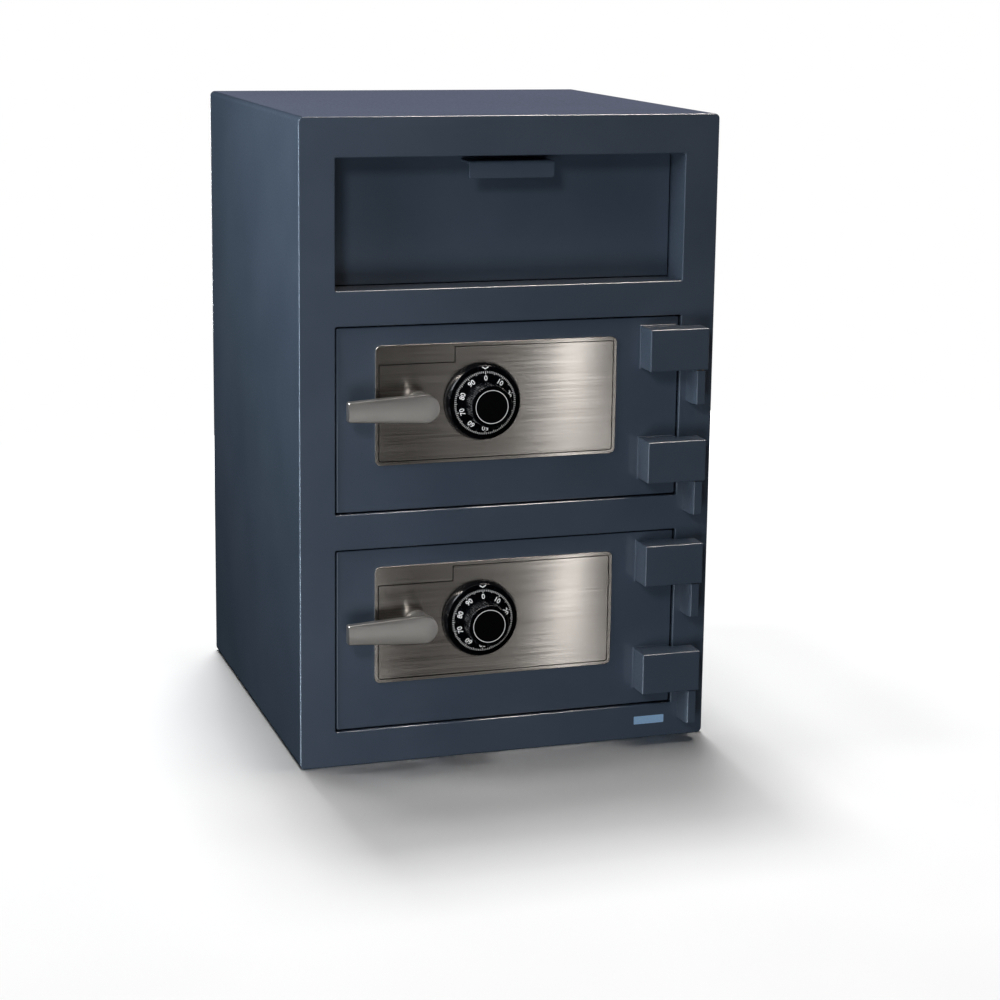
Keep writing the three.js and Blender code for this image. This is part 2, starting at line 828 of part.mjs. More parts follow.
function lockOutline() {
  return roundedRectangle(
    dialAxisX - lockWidth / 2,
    lockBottom,
    dialAxisX + lockWidth / 2,
    lockBottom + lockHeight,
    lockCornerRadius,
  );
}

function hardPlate() {
  const outline = lockOutline();
  roundHole(outline, dialAxisX, lockLineHeight, spindleRadius + spindleFit);
  return plate(outline, doorBack, doorBack + hardPlateThickness, 0, 3);
}

function lockCase() {
  const front = doorBack + hardPlateThickness;
  const back = front + lockThickness;
  const spindleHole = spindleBack() + spindleEndGap;
  const slot = roundedRectangle(
    dialAxisX - lockBoltWidth / 2 - lockBoltFit,
    lockBottom - overrun,
    dialAxisX + lockBoltWidth / 2 + lockBoltFit,
    lockBottom + lockBoltLength + lockBoltFit,
    lockBoltFit,
  );
  const slotFront = lockBoltSetback - lockBoltFit;
  const slotBack = lockBoltSetback + lockBoltThickness + lockBoltFit;
  return cut(
    easedBackPlate(lockOutline(), front, back, lockEdge, 4 * lockHeight),
    rod(spindleRadius + spindleFit, front - overrun, spindleHole, dialAxisX, lockLineHeight),
    plate(slot, slotFront, slotBack),
  );
}

function lockBolt() {
  const half = lockBoltWidth / 2;
  const bottom = lockBottom - lockBoltProud;
  const outline = roundedRectangle(
    dialAxisX - half,
    bottom,
    dialAxisX + half,
    bottom + lockBoltLength,
    lockBoltCorner,
  );
  return plate(outline, lockBoltSetback, lockBoltSetback + lockBoltThickness, 0, 1);
}

function spindleBack() {
  return doorBack + hardPlateThickness + lockThickness - lockCornerRadius - spindleEndGap;
}

function boltGuide() {
  const left = -coverLeft + guideStandoff;
  const guideDepth = boltDoorGap + 2 * boltRadius + guideBackWall;
  const section = polygon([
    [left, doorBack],
    [left + guideFoot, doorBack],
    [left + guideFoot, doorBack + guideFootThickness],
    [left + guideThickness, doorBack + guideFootThickness],
    [left + guideThickness, doorBack + guideDepth],
    [left, doorBack + guideDepth],
  ]);
  const hole = boltRadius + boltFit;
  const right = left + guideFoot + overrun;
  return cut(
    extrude(section, -guideHalfHeight, guideHalfHeight),
    boltRod(hole, left - overrun, right, boltSpread),
    boltRod(hole, left - overrun, right, -boltSpread),
  );
}

function lockingBolt(rise) {
  return boltRod(boltRadius, -coverLeft, barFlangeX, rise, boltTipBevel);
}

// The bolt bar carries both bolts. The crank pin slides in its slot, and the lock bolt drops
// into one notch while the bolts are drawn and into the other while they are thrown.
function boltBar() {
  const half = guideHalfHeight;
  const slotRadius = crankPinRadius + crankSlotFit;
  const slotTop = lockLineHeight - crankRadius * Math.cos(crankSwing / 2) + crankSlotSpare;
  const slotBottom = lockLineHeight - crankRadius - crankSlotSpare;
  const legRight = barFlangeX + barLegWidth;
  const crankRight = crankPinX + slotRadius + barSlotMargin;
  const crankTop = slotTop + slotRadius + barSlotMargin;
  const armTop = lockBottom - barLockGap;
  const armBottom = armTop - barArmHeight;
  const armEnd = dialAxisX + barArmReach;
  const notchHalf = lockBoltWidth / 2 + notchFit;
  const points = [
    [barFlangeX, half], [barFlangeX, -half], [legRight, -half], [legRight, armBottom],
    [armEnd, armBottom], [armEnd, armTop],
  ];
  for (const middle of [dialAxisX + boltThrow, dialAxisX]) {
    points.push([middle + notchHalf, armTop]);
    points.push([middle + notchHalf, armTop - notchDepth]);
    points.push([middle - notchHalf, armTop - notchDepth]);
    points.push([middle - notchHalf, armTop]);
  }
  points.push([crankRight, armTop], [crankRight, crankTop], [legRight, crankTop]);
  points.push([legRight, half]);
  const web = polygon(points);

  const slot = new THREE.Path();
  slot.absarc(crankPinX, slotTop, slotRadius, 0, Math.PI, false);
  slot.absarc(crankPinX, slotBottom, slotRadius, Math.PI, Math.PI * 2, false);
  web.holes.push(slot);

  const flange = roundedRectangle(
    barFlangeX,
    -half,
    barFlangeX + barFlange,
    half,
    barFlange / 4,
  );
  return join(
    plate(web, barWebSetback, barWebSetback + barWeb, 0, 3),
    plate(flange, boltSetback - boltRadius, boltSetback + boltRadius),
  );
}

function throwCrank() {
  const pinEnd = barWebSetback + barWeb + crankPinSpare;
  const outline = linkOutline(crankHubRadius, crankEndRadius, crankRadius);
  roundHole(outline, 0, 0, shaftRadius + shaftFit);
  const arm = plate(outline, crankSetback, crankBack, 0, 4);
  const pin = rod(crankPinRadius, crankBack - overrun, pinEnd, crankRadius, 0);
  return join(arm, pin)
    .rotateY((Math.PI - crankSwing) / 2)
    .translate(leverAxisX, 0, lockLineHeight);
}

function handleShaft() {
  const front = trimFace - shaftFit;
  return rod(shaftRadius, front, crankBack, leverAxisX, lockLineHeight);
}

// The lever is a tapered bar with a round hub, a square tip and a flared neck.
function leverHandle() {
  const tip = leverTipHeight / 2;
  const lean = Math.asin((leverHubRadius - tip) / leverLength);
  const outline = new THREE.Shape();
  outline.absarc(0, 0, leverHubRadius, -Math.PI / 2 - lean, Math.PI / 2 + lean, false);
  outline.lineTo(-leverLength, tip);
  outline.lineTo(-leverLength, -tip);
  const back = leverThickness - leverProud;
  const bar = plate(outline, -leverProud, back, leverEdge, 5);
  const foot = trimFace - shaftFit;
  const neck = turned([
    [0, back - overrun],
    [neckRadius + neckFlare, back - overrun],
    [neckRadius + neckFlare, back + neckFlare],
    [neckRadius, back + 3 * neckFlare],
    [neckRadius, foot],
    [0, foot],
  ], 0, 0, smallTurnSteps);
  return join(bar, neck).translate(leverAxisX, 0, lockLineHeight);
}

function handleCollar() {
  const bore = neckRadius + neckFit;
  const front = trimFace - collarThickness;
  return turned([
    [bore, trimFace],
    [collarRadius, trimFace],
    [collarRadius, front + collarEdge],
    [collarRadius - collarEdge, front],
    [bore, front],
    [bore, trimFace],
  ], leverAxisX, lockLineHeight, smallTurnSteps);
}

function dialRing() {
  const bore = spindleRadius + spindleFit;
  const well = dialRadius + dialFit;
  const front = trimFace - ringHeight;
  return turned([
    [bore, trimFace],
    [ringRadius, trimFace],
    [ringRadius, front + ringShoulder],
    [ringRadius - ringEdge, front + ringEdge],
    [ringRadius - 2 * ringEdge, front],
    [well, front],
    [well, trimFace - ringRecess],
    [bore, trimFace - ringRecess],
    [bore, trimFace],
  ], dialAxisX, lockLineHeight, dialTurnSteps);
}

// The dial is a disc with a raised number band and a fluted knob on its middle.
function lockDial() {
  const seat = trimFace - ringRecess - dialFit;
  const rim = seat - dialRimHeight;
  const crown = rim - dialConeRise;
  const face = trimFace - knobHeight;
  const disc = turned([
    [0, seat],
    [dialRadius, seat],
    [dialRadius, rim],
    [dialRadius - dialBandWidth, crown],
    [0, crown],
  ], 0, 0, dialTurnSteps);

  const grip = new THREE.Shape();
  const count = knobFlutes * knobSteps;
  const points = [];
  for (let step = 0; step < count; step += 1) {
    const angle = step / count * Math.PI * 2;
    const radius = knobRadius - knobFluteDepth * (1 - Math.cos(angle * knobFlutes)) / 2;
    points.push(new THREE.Vector2(radius * Math.cos(angle), radius * Math.sin(angle)));
  }
  grip.setFromPoints(points);
  const knob = easedPlate(grip, face, crown + overrun, knobEdge, 4 * ringRadius);
  return join(disc, knob).translate(dialAxisX, 0, lockLineHeight);
}

function dialSpindle() {
  const front = trimFace - ringRecess - dialFit;
  return rod(spindleRadius, front, spindleBack(), dialAxisX, lockLineHeight);
}

function addDoor(name, centre) {
  const door = new THREE.Group();
  door.position.set(0, frontPlane, centre);
  part.add(door);
  const hinges = { top: topHingeShare * doorHeight, bottom: -bottomHingeShare * doorHeight };
  const add = (piece, geometry, look) => addPiece(door, `${name}_${piece}`, geometry, look);

  add('door_plate', doorPlate(), finishes.doorPaint);
  add('trim_plate', trimPlate(), finishes.trimSteel);
  for (const [place, middle] of Object.entries(hinges)) {
    add(`${place}_hinge_block`, hingeBlock(middle), finishes.doorPaint);
    add(`${place}_hinge_post`, hingePost(middle), finishes.bodyPaint);
    add(`${place}_hinge_washer`, hingeWasher(middle), finishes.brass);
  }
  add('inner_cover', innerCover(), finishes.innerPaint);
  add('dead_bar', deadBar(), finishes.zincSteel);
  add('hard_plate', hardPlate(), finishes.hardSteel);
  add('lock_case', lockCase(), finishes.lockAlloy);
  add('lock_bolt', lockBolt(), finishes.brass);
  add('bolt_guide', boltGuide(), finishes.zincSteel);
  add('bolt_bar', boltBar(), finishes.zincSteel);
  add('top_bolt', lockingBolt(boltSpread), finishes.zincSteel);
  add('bottom_bolt', lockingBolt(-boltSpread), finishes.zincSteel);
  add('throw_crank', throwCrank(), finishes.zincSteel);
  add('handle_shaft', handleShaft(), finishes.zincSteel);
  add('handle_collar', handleCollar(), finishes.nickel);
  add('lever_handle', leverHandle(), finishes.nickel);
  add('dial_ring', dialRing(), finishes.blackEnamel);
  add('dial', lockDial(), finishes.blackEnamel);
  add('dial_spindle', dialSpindle(), finishes.zincSteel);
}

addDoor('upper', upperDoorCentre);
addDoor('lower', lowerDoorCentre);

export default part;
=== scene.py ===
import math

import bmesh
import bpy
from mathutils import Matrix, Vector


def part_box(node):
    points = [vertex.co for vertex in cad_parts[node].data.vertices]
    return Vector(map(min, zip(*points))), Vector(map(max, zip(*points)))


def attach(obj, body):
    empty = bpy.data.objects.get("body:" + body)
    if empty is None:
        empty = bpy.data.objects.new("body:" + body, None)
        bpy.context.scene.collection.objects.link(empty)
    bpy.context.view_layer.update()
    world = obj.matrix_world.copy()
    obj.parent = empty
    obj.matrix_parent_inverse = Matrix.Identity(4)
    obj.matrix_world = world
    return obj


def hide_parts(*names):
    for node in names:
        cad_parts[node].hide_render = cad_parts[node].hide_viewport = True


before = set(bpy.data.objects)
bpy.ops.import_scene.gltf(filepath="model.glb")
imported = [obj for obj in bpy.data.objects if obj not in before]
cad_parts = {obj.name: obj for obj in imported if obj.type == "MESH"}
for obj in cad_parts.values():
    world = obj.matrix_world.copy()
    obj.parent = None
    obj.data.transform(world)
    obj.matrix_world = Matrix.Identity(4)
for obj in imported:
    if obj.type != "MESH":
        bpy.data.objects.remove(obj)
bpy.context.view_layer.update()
print("safe scene: CAD frame loaded")

mm = 0.001
flatAngle = math.radians(0.8)  # faces that meet flatter than this are one
doorNames = ("lower", "upper")
hingeNames = ("top", "bottom")


# everything is shaped in millimetres, where the CAD has it, and scaled to metres at the end

def boxOf(node):
    low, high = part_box(node)
    return low / mm, high / mm


def same(one, other):  # to a hundredth of a millimetre
    return abs(one - other) < 0.01


def runsAlong(edge, axis):  # by more than a millimetre
    return abs(edge.verts[0].co[axis] - edge.verts[1].co[axis]) > 1


def reachesBefore(edge, y):  # by more than a millimetre
    return min(vert.co.y for vert in edge.verts) < y - 1


def startBlock(low, high):
    bm = bmesh.new()
    bmesh.ops.create_cube(bm, size=1.0)
    bmesh.ops.scale(bm, vec=high - low, verts=bm.verts)
    bmesh.ops.translate(bm, vec=(low + high) / 2, verts=bm.verts)
    return bm


def startFace(outline, y):  # a flat face seen from the front
    bm = bmesh.new()
    addFace(bm, [(x, y, z) for x, z in outline])
    return bm


def addFace(bm, places):
    return bm.faces.new([bm.verts.new(place) for place in places])


def corners(low, high):  # of a box, seen from the front
    return [(low.x, low.z), (high.x, low.z), (high.x, high.z), (low.x, high.z)]


def roundCorners(bm, verts, size, segments=6):
    bmesh.ops.bevel(bm, geom=list(verts), offset=size, offset_type="OFFSET", segments=segments,
                    profile=0.5, affect="VERTICES", clamp_overlap=True, material=-1)


def roundEdges(bm, edges, size, segments):
    bmesh.ops.bevel(bm, geom=list(edges), offset=size, offset_type="OFFSET", segments=segments,
                    profile=0.5, affect="EDGES", clamp_overlap=True, material=-1)


def push(bm, faces, way):  # a closed body from flat faces
    made = bmesh.ops.extrude_face_region(bm, geom=list(faces), use_keep_orig=True)["geom"]
    moved = [item for item in made if isinstance(item, bmesh.types.BMVert)]
    bmesh.ops.translate(bm, vec=way, verts=moved)
    bmesh.ops.recalc_face_normals(bm, faces=bm.faces)


def sharpEdges(bm, angle=50):  # in degrees
    return [edge for edge in bm.edges
            if edge.is_manifold and edge.calc_face_angle(0) > math.radians(angle)]


def rimEdges(bm, y):  # sharp edges at one depth
    return [edge for edge in sharpEdges(bm) if all(same(vert.co.y, y) for vert in edge.verts)]


def startPlate(low, high, corner, edge, cornerSteps, edgeSteps):  # a sheet with its front eased
    bm = startFace(corners(low, high), low.y)
    roundCorners(bm, bm.verts[:], corner, cornerSteps)
    push(bm, bm.faces[:], (0, high.y - low.y, 0))
    roundEdges(bm, rimEdges(bm, low.y), edge, edgeSteps)
    return bm


def cutAcross(bm, place, way, geom=None):
    bmesh.ops.bisect_plane(bm, geom=geom or bm.verts[:] + bm.edges[:] + bm.faces[:],
                           plane_co=place, plane_no=way, dist=0.001)


def turnProfile(bm, profile, centre, steps):  # radius and depth, turned about a line to the back
    line = [bm.verts.new((centre.x + radius, depth, centre.z)) for radius, depth in profile]
    edges = [bm.edges.new(pair) for pair in zip(line, line[1:])]
    bmesh.ops.spin(bm, geom=line + edges, cent=centre, axis=(0, 1, 0), dvec=(0, 0, 0),
                   angle=math.tau, steps=steps, use_merge=True, use_duplicate=False)
    bmesh.ops.remove_doubles(bm, verts=bm.verts, dist=0.001)
    bmesh.ops.recalc_face_normals(bm, faces=bm.faces)


def finishPiece(bm, name, body, material, replaces=(), sharp=32, weighted=True):
    bmesh.ops.remove_doubles(bm, verts=bm.verts, dist=0.0005)
    bmesh.ops.recalc_face_normals(bm, faces=bm.faces)
    bmesh.ops.scale(bm, vec=(mm, mm, mm), verts=bm.verts)
    for face in bm.faces:
        face.smooth = True
    for edge in bm.edges:
        edge.smooth = edge.is_manifold and edge.calc_face_angle(0) < math.radians(sharp)
    mesh = bpy.data.meshes.new(name)
    bm.to_mesh(mesh)
    bm.free()
    mesh.materials.append(material)
    piece = bpy.data.objects.new(name, mesh)
    bpy.context.collection.objects.link(piece)
    if weighted:
        normals = piece.modifiers.new("flatShading", "WEIGHTED_NORMAL")
        normals.keep_sharp = True
    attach(piece, body)
    if replaces:
        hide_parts(*replaces)


def refineNode(node, body, material, edge):
    # a CAD solid that is only merged, eased at its edges and shaded smooth
    bm = bmesh.new()
    bm.from_mesh(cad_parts[node].data)
    bmesh.ops.scale(bm, vec=(1 / mm, 1 / mm, 1 / mm), verts=bm.verts)
    bmesh.ops.remove_doubles(bm, verts=bm.verts, dist=0.002)
    bmesh.ops.dissolve_limit(bm, angle_limit=flatAngle, verts=bm.verts, edges=bm.edges)
    roundEdges(bm, sharpEdges(bm), edge, segments=2)
    finishPiece(bm, node + "_refined", body, material, [node])


def linearColour(code):  # an sRGB hex value as the linear colour that Blender wants
    parts = [int(code[i:i + 2], 16) / 255 for i in (1, 3, 5)]
    return tuple(c / 12.92 if c <= 0.04045 else ((c + 0.055) / 1.055) ** 2.4 for c in parts) + (1,)


def addNode(material, kind, settings=None, links=None):
    made = material.node_tree.nodes.new(kind)
    for key, value in (settings or {}).items():
        if key == "stops":  # the two places and colours of a ramp
            for element, (place, code) in zip(made.color_ramp.elements, value):
                element.position, element.color = place, linearColour(code)
        elif isinstance(key, str) and hasattr(made, key):
            setattr(made, key, value)
        else:
            made.inputs[key].default_value = value
    for key, source in (links or {}).items():
        material.node_tree.links.new(source, made.inputs[key])
    return made


def startMaterial(name):
    material = bpy.data.materials.new(name)
    material.use_nodes = True
    material.node_tree.nodes.clear()
    return material


def closeMaterial(material, settings, links):
    shader = addNode(material, "ShaderNodeBsdfPrincipled", settings, links)
    addNode(material, "ShaderNodeOutputMaterial", links={"Surface": shader.outputs["BSDF"]})
    return material


powderCoat = {
    "light": "#535f6d", "dark": "#4c5866", "roughness": 0.42, "smoother": 0.05, "rougher": 0.08,
    "specular": 0.3, "coat": 0.5, "coatRoughness": 0.13,
    "orangePeel": 2.4, "grit": 0.8, "peelHeight": 0.1, "gritHeight": 0.05, "cloud": 110,  # mm
}


def powderCoatMaterial(name, values):
    # stoved polyester powder on folded steel: a fine orange peel that breaks highlights into
    # sparkles along every rounded edge, and a dull satin face
    material = startMaterial(name)
    place = addNode(material, "ShaderNodeTexCoord").outputs["Object"]
    peel = addNode(material, "ShaderNodeTexNoise",
                   {"Scale": 1 / (values["orangePeel"] * mm), "Detail": 2.0, "Roughness": 0.5},
                   {"Vector": place})
    grit = addNode(material, "ShaderNodeTexNoise",
                   {"Scale": 1 / (values["grit"] * mm), "Detail": 1.0, "Roughness": 0.6},
                   {"Vector": place})
    cloud = addNode(material, "ShaderNodeTexNoise",
                    {"Scale": 1 / (values["cloud"] * mm), "Detail": 3.0}, {"Vector": place})
    colour = addNode(material, "ShaderNodeValToRGB",
                     {"stops": [(0.3, values["dark"]), (0.7, values["light"])]},
                     {"Fac": cloud.outputs["Fac"]})
    gloss = addNode(material, "ShaderNodeMapRange",
                    {"From Min": 0.3, "From Max": 0.7,
                     "To Min": values["roughness"] - values["smoother"],
                     "To Max": values["roughness"] + values["rougher"]},
                    {"Value": peel.outputs["Fac"]})
    peelBump = addNode(material, "ShaderNodeBump",
                       {"Strength": 0.6, "Distance": values["peelHeight"] * mm},
                       {"Height": peel.outputs["Fac"]})
    gritBump = addNode(material, "ShaderNodeBump",
                       {"Strength": 0.6, "Distance": values["gritHeight"] * mm},
                       {"Height": grit.outputs["Fac"], "Normal": peelBump.outputs["Normal"]})
    return closeMaterial(material,
                         {"Specular IOR Level": values["specular"], "IOR": 1.5,
                          "Coat Weight": values["coat"], "Coat Roughness": values["coatRoughness"]},
                         {"Base Color": colour.outputs["Color"],
                          "Roughness": gloss.outputs["Result"],
                          "Normal": gritBump.outputs["Normal"]})


brushedSteel = {
    "light": "#c5c1bd", "dark": "#7b7773", "roughness": 0.19, "smoother": 0.02, "rougher": 0.03,
    "anisotropic": 1.0, "fineShare": 2.2,  # how many times shorter the fine hairlines are
    "lineLength": 170, "lineWidth": 0.75, "fineWidth": 0.4, "lineDepth": 0.002,  # mm
}


def brushedSteelMaterial(name, values):
    # stainless sheet brushed along its length: long horizontal hairlines that draw each
    # reflection out into an upright band, here two or three times as coarse as real ones,
    # which would not show
    material = startMaterial(name)
    place = addNode(material, "ShaderNodeTexCoord").outputs["Object"]
    coarse = addNode(material, "ShaderNodeMapping",
                     {"Scale": (1 / (values["lineLength"] * mm), 1,
                                1 / (values["lineWidth"] * mm))},
                     {"Vector": place})
    fine = addNode(material, "ShaderNodeMapping",
                   {"Scale": (values["fineShare"] / (values["lineLength"] * mm), 1,
                              1 / (values["fineWidth"] * mm))},
                   {"Vector": place})
    lines = addNode(material, "ShaderNodeTexNoise", {"Scale": 1.0, "Detail": 3.0, "Roughness": 0.6},
                    {"Vector": coarse.outputs["Vector"]})
    hairs = addNode(material, "ShaderNodeTexNoise", {"Scale": 1.0, "Detail": 2.0, "Roughness": 0.7},
                    {"Vector": fine.outputs["Vector"]})
    both = addNode(material, "ShaderNodeMath", {"operation": "ADD"},
                   {0: lines.outputs["Fac"], 1: hairs.outputs["Fac"]})
    half = addNode(material, "ShaderNodeMath", {"operation": "MULTIPLY", 1: 0.5},
                   {0: both.outputs["Value"]})
    colour = addNode(material, "ShaderNodeValToRGB",
                     {"stops": [(0.38, values["dark"]), (0.62, values["light"])]},
                     {"Fac": half.outputs["Value"]})
    gloss = addNode(material, "ShaderNodeMapRange",
                    {"From Min": 0.35, "From Max": 0.65,
                     "To Min": values["roughness"] - values["smoother"],
                     "To Max": values["roughness"] + values["rougher"]},
                    {"Value": half.outputs["Value"]})
    bump = addNode(material, "ShaderNodeBump",
                   {"Strength": 0.5, "Distance": values["lineDepth"] * mm},
                   {"Height": half.outputs["Value"]})
    along = addNode(material, "ShaderNodeTangent", {"direction_type": "UV_MAP", "uv_map": "UVMap"})
    return closeMaterial(material, {"Metallic": 1.0, "Anisotropic": values["anisotropic"],
                                    "Anisotropic Rotation": 0.25},  # a quarter turn from U
                         {"Base Color": colour.outputs["Color"],
                          "Roughness": gloss.outputs["Result"],
                          "Normal": bump.outputs["Normal"], "Tangent": along.outputs["Tangent"]})


def speckle(material, light, dark, roughness, spread, grain, depth, noiseValues):
    # one fine noise that drives colour, roughness and bump together; grain and depth in mm
    place = addNode(material, "ShaderNodeTexCoord").outputs["Object"]
    noise = addNode(material, "ShaderNodeTexNoise", {"Scale": 1 / (grain * mm), **noiseValues},
                    {"Vector": place})
    colour = addNode(material, "ShaderNodeValToRGB", {"stops": [(0.3, dark), (0.7, light)]},
                     {"Fac": noise.outputs["Fac"]})
    gloss = addNode(material, "ShaderNodeMapRange",
                    {"From Min": 0.3, "From Max": 0.7, "To Min": roughness - spread[0],
                     "To Max": roughness + spread[1]}, {"Value": noise.outputs["Fac"]})
    bump = addNode(material, "ShaderNodeBump", {"Strength": 0.4, "Distance": depth * mm},
                   {"Height": noise.outputs["Fac"]})
    return {"Base Color": colour.outputs["Color"], "Roughness": gloss.outputs["Result"],
            "Normal": bump.outputs["Normal"]}


# how far the roughness wanders, down and up
metalSpread, coatSpread = (0.05, 0.06), (0.03, 0.05)


def metalMaterial(name, light, dark, roughness, grain, depth):
    material = startMaterial(name)
    links = speckle(material, light, dark, roughness, metalSpread, grain, depth,
                    {"Detail": 3.0, "Roughness": 0.6})
    return closeMaterial(material, {"Metallic": 1.0}, links)


def coatMaterial(name, light, dark, roughness, grain, depth, coat=0.0, specular=0.5, glow=0.0):
    material = startMaterial(name)
    links = speckle(material, light, dark, roughness, coatSpread, grain, depth, {"Detail": 2.0})
    # glow makes the coat shine by itself though it is no lamp: painted light
    return closeMaterial(material, {"Coat Weight": coat, "Coat Roughness": 0.08, "IOR": 1.5,
                                    "Specular IOR Level": specular, "Emission Strength": glow,
                                    "Emission Color": linearColour(light)}, links)


greyPowder = powderCoatMaterial("slatePowderCoat", powderCoat)
# the same powder on the inside, darker and duller: the darker tone is painted shade, so the
# compartments stay calm
shadedInnerCoat = {**powderCoat, "light": "#454d58", "dark": "#3e4650", "roughness": 0.5}
shadedInnerPowder = powderCoatMaterial("innerPowderCoat", shadedInnerCoat)
brushed = brushedSteelMaterial("brushedStainless", brushedSteel)
# satin nickel on a die-cast lever: soft and even, with bright worn corners
satinNickel = metalMaterial("satinNickelPlate", "#b9b8b6", "#abaaa8", 0.36, 0.5, 0.004)
# stove enamel on the dial and its ring: deep black with a soft-edged gloss
blackEnamel = coatMaterial("blackGlossEnamel", "#0b0d11", "#090a0d", 0.24, 6.0, 0.002,
                          coat=0.25, specular=0.3)
# the flat middle of the knob is a matt black foil
mattBlack = coatMaterial("mattBlackFoil", "#151516", "#121213", 0.7, 0.6, 0.004, specular=0.06)
# screen-printed marks, filled into the enamel, glowing faintly: painted light that lifts them
glowingWhiteFill = coatMaterial("glowingWhiteDialFill", "#ffffff", "#f6f6f4", 0.5, 0.5, 0.002, glow=0.5)
# etched line of the trim plate, filled with black
blackFill = coatMaterial("etchedBlackFill", "#15130f", "#0e0d0b", 0.5, 0.5, 0.002)
# plain printed film, left blank, glowing faintly: painted light that lifts it
glowingBlueFilm = coatMaterial("glowingPaleBlueFilm", "#a4cbf0", "#98c0e6", 0.4, 3.0, 0.002, glow=0.25)
# washers, spindle and lock bolt: turned brass, a warm yellow line among the greys
turnedBrass = metalMaterial("turnedBrass", "#cba757", "#b08e42", 0.28, 0.3, 0.006)
# bright zinc on bolts, bars and baffle: cool, slightly clouded, clean
zincPlate = metalMaterial("zincPlatedSteel", "#b9bcc0", "#9ea3aa", 0.32, 4.0, 0.01)
# oiled hardened plate before the lock: dark and dull, with a mill-scale mottle
hardSteel = metalMaterial("hardenedPlate", "#6a6866", "#53514f", 0.42, 2.5, 0.02)
# lock case: pale die-cast alloy with a grainy skin
castAlloy = metalMaterial("dieCastAlloy", "#b7b7b3", "#a3a39f", 0.42, 1.2, 0.03)
print("safe scene: materials ready")


bodyValues = {"cornerRadius": 6, "wall": 4.8, "frameSheet": 6, "frameEdge": 5.4, "rearEdge": 2.5,
              "openingCorner": 2, "doorGap": 2, "panelGap": 2, "returnSheet": 4.8}

outerLow, outerHigh = boxOf("front_frame")
wrapLow, wrapHigh = boxOf("body_wrap")
rearLow, rearHigh = boxOf("rear_panel")


def openingOf(node, gap):
    low, high = boxOf(node)
    return (Vector((low.x - gap, outerLow.y, low.z - gap)),
            Vector((high.x + gap, outerLow.y, high.z + gap)))


doorOpenings = [openingOf(name + "_door_plate", bodyValues["doorGap"]) for name in doorNames]
hopperOpening = openingOf("hopper_panel", bodyValues["panelGap"])


def makeBodyWrap(values):
    # folded tube: a ring with rounded corners, drawn out from front to back
    bm = startFace(corners(wrapLow, wrapHigh), wrapLow.y)
    roundCorners(bm, bm.verts[:], values["cornerRadius"])
    inner = bm.faces[:]
    bmesh.ops.inset_region(bm, faces=inner, thickness=values["wall"], depth=0,
                           use_even_offset=True, use_boundary=True)
    bmesh.ops.delete(bm, geom=inner, context="FACES_ONLY")
    push(bm, bm.faces[:], (0, wrapHigh.y - wrapLow.y, 0))
    finishPiece(bm, "safe_body", "root", greyPowder, ["body_wrap"])


def makeFrontFrame(values):
    # one sheet, cut for its openings, with rolled lips
    bm = startFace(corners(outerLow, outerHigh), outerLow.y)
    roundCorners(bm, bm.verts[:], values["cornerRadius"])
    openings = doorOpenings + [hopperOpening]
    for low, high in openings:
        for way in ((1, 0, 0), (0, 0, 1)):
            cutAcross(bm, low, way)
            cutAcross(bm, high, way)
    inside = [face for face in bm.faces
              if any(low.x < face.calc_center_median().x < high.x
                     and low.z < face.calc_center_median().z < high.z for low, high in openings)]
    bmesh.ops.delete(bm, geom=inside, context="FACES")
    push(bm, bm.faces[:], (0, values["frameSheet"], 0))
    openingCorners = [edge for edge in sharpEdges(bm) if runsAlong(edge, 1)
                      and abs(edge.verts[0].co.x) < outerHigh.x - values["cornerRadius"] - 1]
    roundEdges(bm, openingCorners, values["openingCorner"], segments=3)
    roundEdges(bm, rimEdges(bm, outerLow.y), values["frameEdge"], segments=6)
    for low, high in doorOpenings:
        lip = startFace(corners(low, high), outerLow.y + values["frameSheet"])
        roundCorners(lip, lip.verts[:], values["openingCorner"], segments=3)
        bmesh.ops.inset_region(lip, faces=lip.faces[:], thickness=values["returnSheet"], depth=0,
                               use_even_offset=True, use_boundary=True, use_outset=True)
        middle = max(lip.faces, key=lambda face: face.calc_area())
        bmesh.ops.delete(lip, geom=[middle], context="FACES_ONLY")
        push(lip, lip.faces[:], (0, outerHigh.y - outerLow.y - values["frameSheet"], 0))
        rest = bpy.data.meshes.new("lip")
        lip.to_mesh(rest)
        lip.free()
        bm.from_mesh(rest)
        bpy.data.meshes.remove(rest)
    finishPiece(bm, "safe_front", "root", greyPowder, ["front_frame"])


def makeRearPanel(values):
    bm = startFace(corners(rearLow, rearHigh), rearLow.y)
    roundCorners(bm, bm.verts[:], values["cornerRadius"])
    push(bm, bm.faces[:], (0, rearHigh.y - rearLow.y, 0))
    roundEdges(bm, rimEdges(bm, rearHigh.y), values["rearEdge"], segments=5)
    finishPiece(bm, "safe_back", "root", greyPowder, ["rear_panel"])


makeBodyWrap(bodyValues)
makeFrontFrame(bodyValues)
makeRearPanel(bodyValues)
refineNode("divider_shelf", "root", shadedInnerPowder, edge=0.6)
refineNode("hopper_housing", "root", greyPowder, edge=0.4)
refineNode("fishing_baffle", "root", zincPlate, edge=0.3)
print("safe scene: body")

filmValues = {"left": 164, "width": 39, "bottom": 17.5, "height": 10, "thickness": 0.12,
              "corner": 0.8}


def makeFilm(values):  # on the bottom rail, blank
    low = Vector((values["left"], 0, values["bottom"]))
    high = low + Vector((values["width"], 0, values["height"]))
    bm = startFace(corners(low, high), outerLow.y)
    roundCorners(bm, bm.verts[:], values["corner"], segments=3)
    push(bm, bm.faces[:], (0, -values["thickness"], 0))
    # the film glows faintly: painted light
    finishPiece(bm, "blank_film", "root", glowingBlueFilm)


makeFilm(filmValues)


hopperValues = {"panelCorner": 0.8, "panelEdge": 0.6, "panelReach": 1.3, "tabSheet": 3,
                "tabBend": 4, "tabCorner": 3, "tabEdge": 0.6}


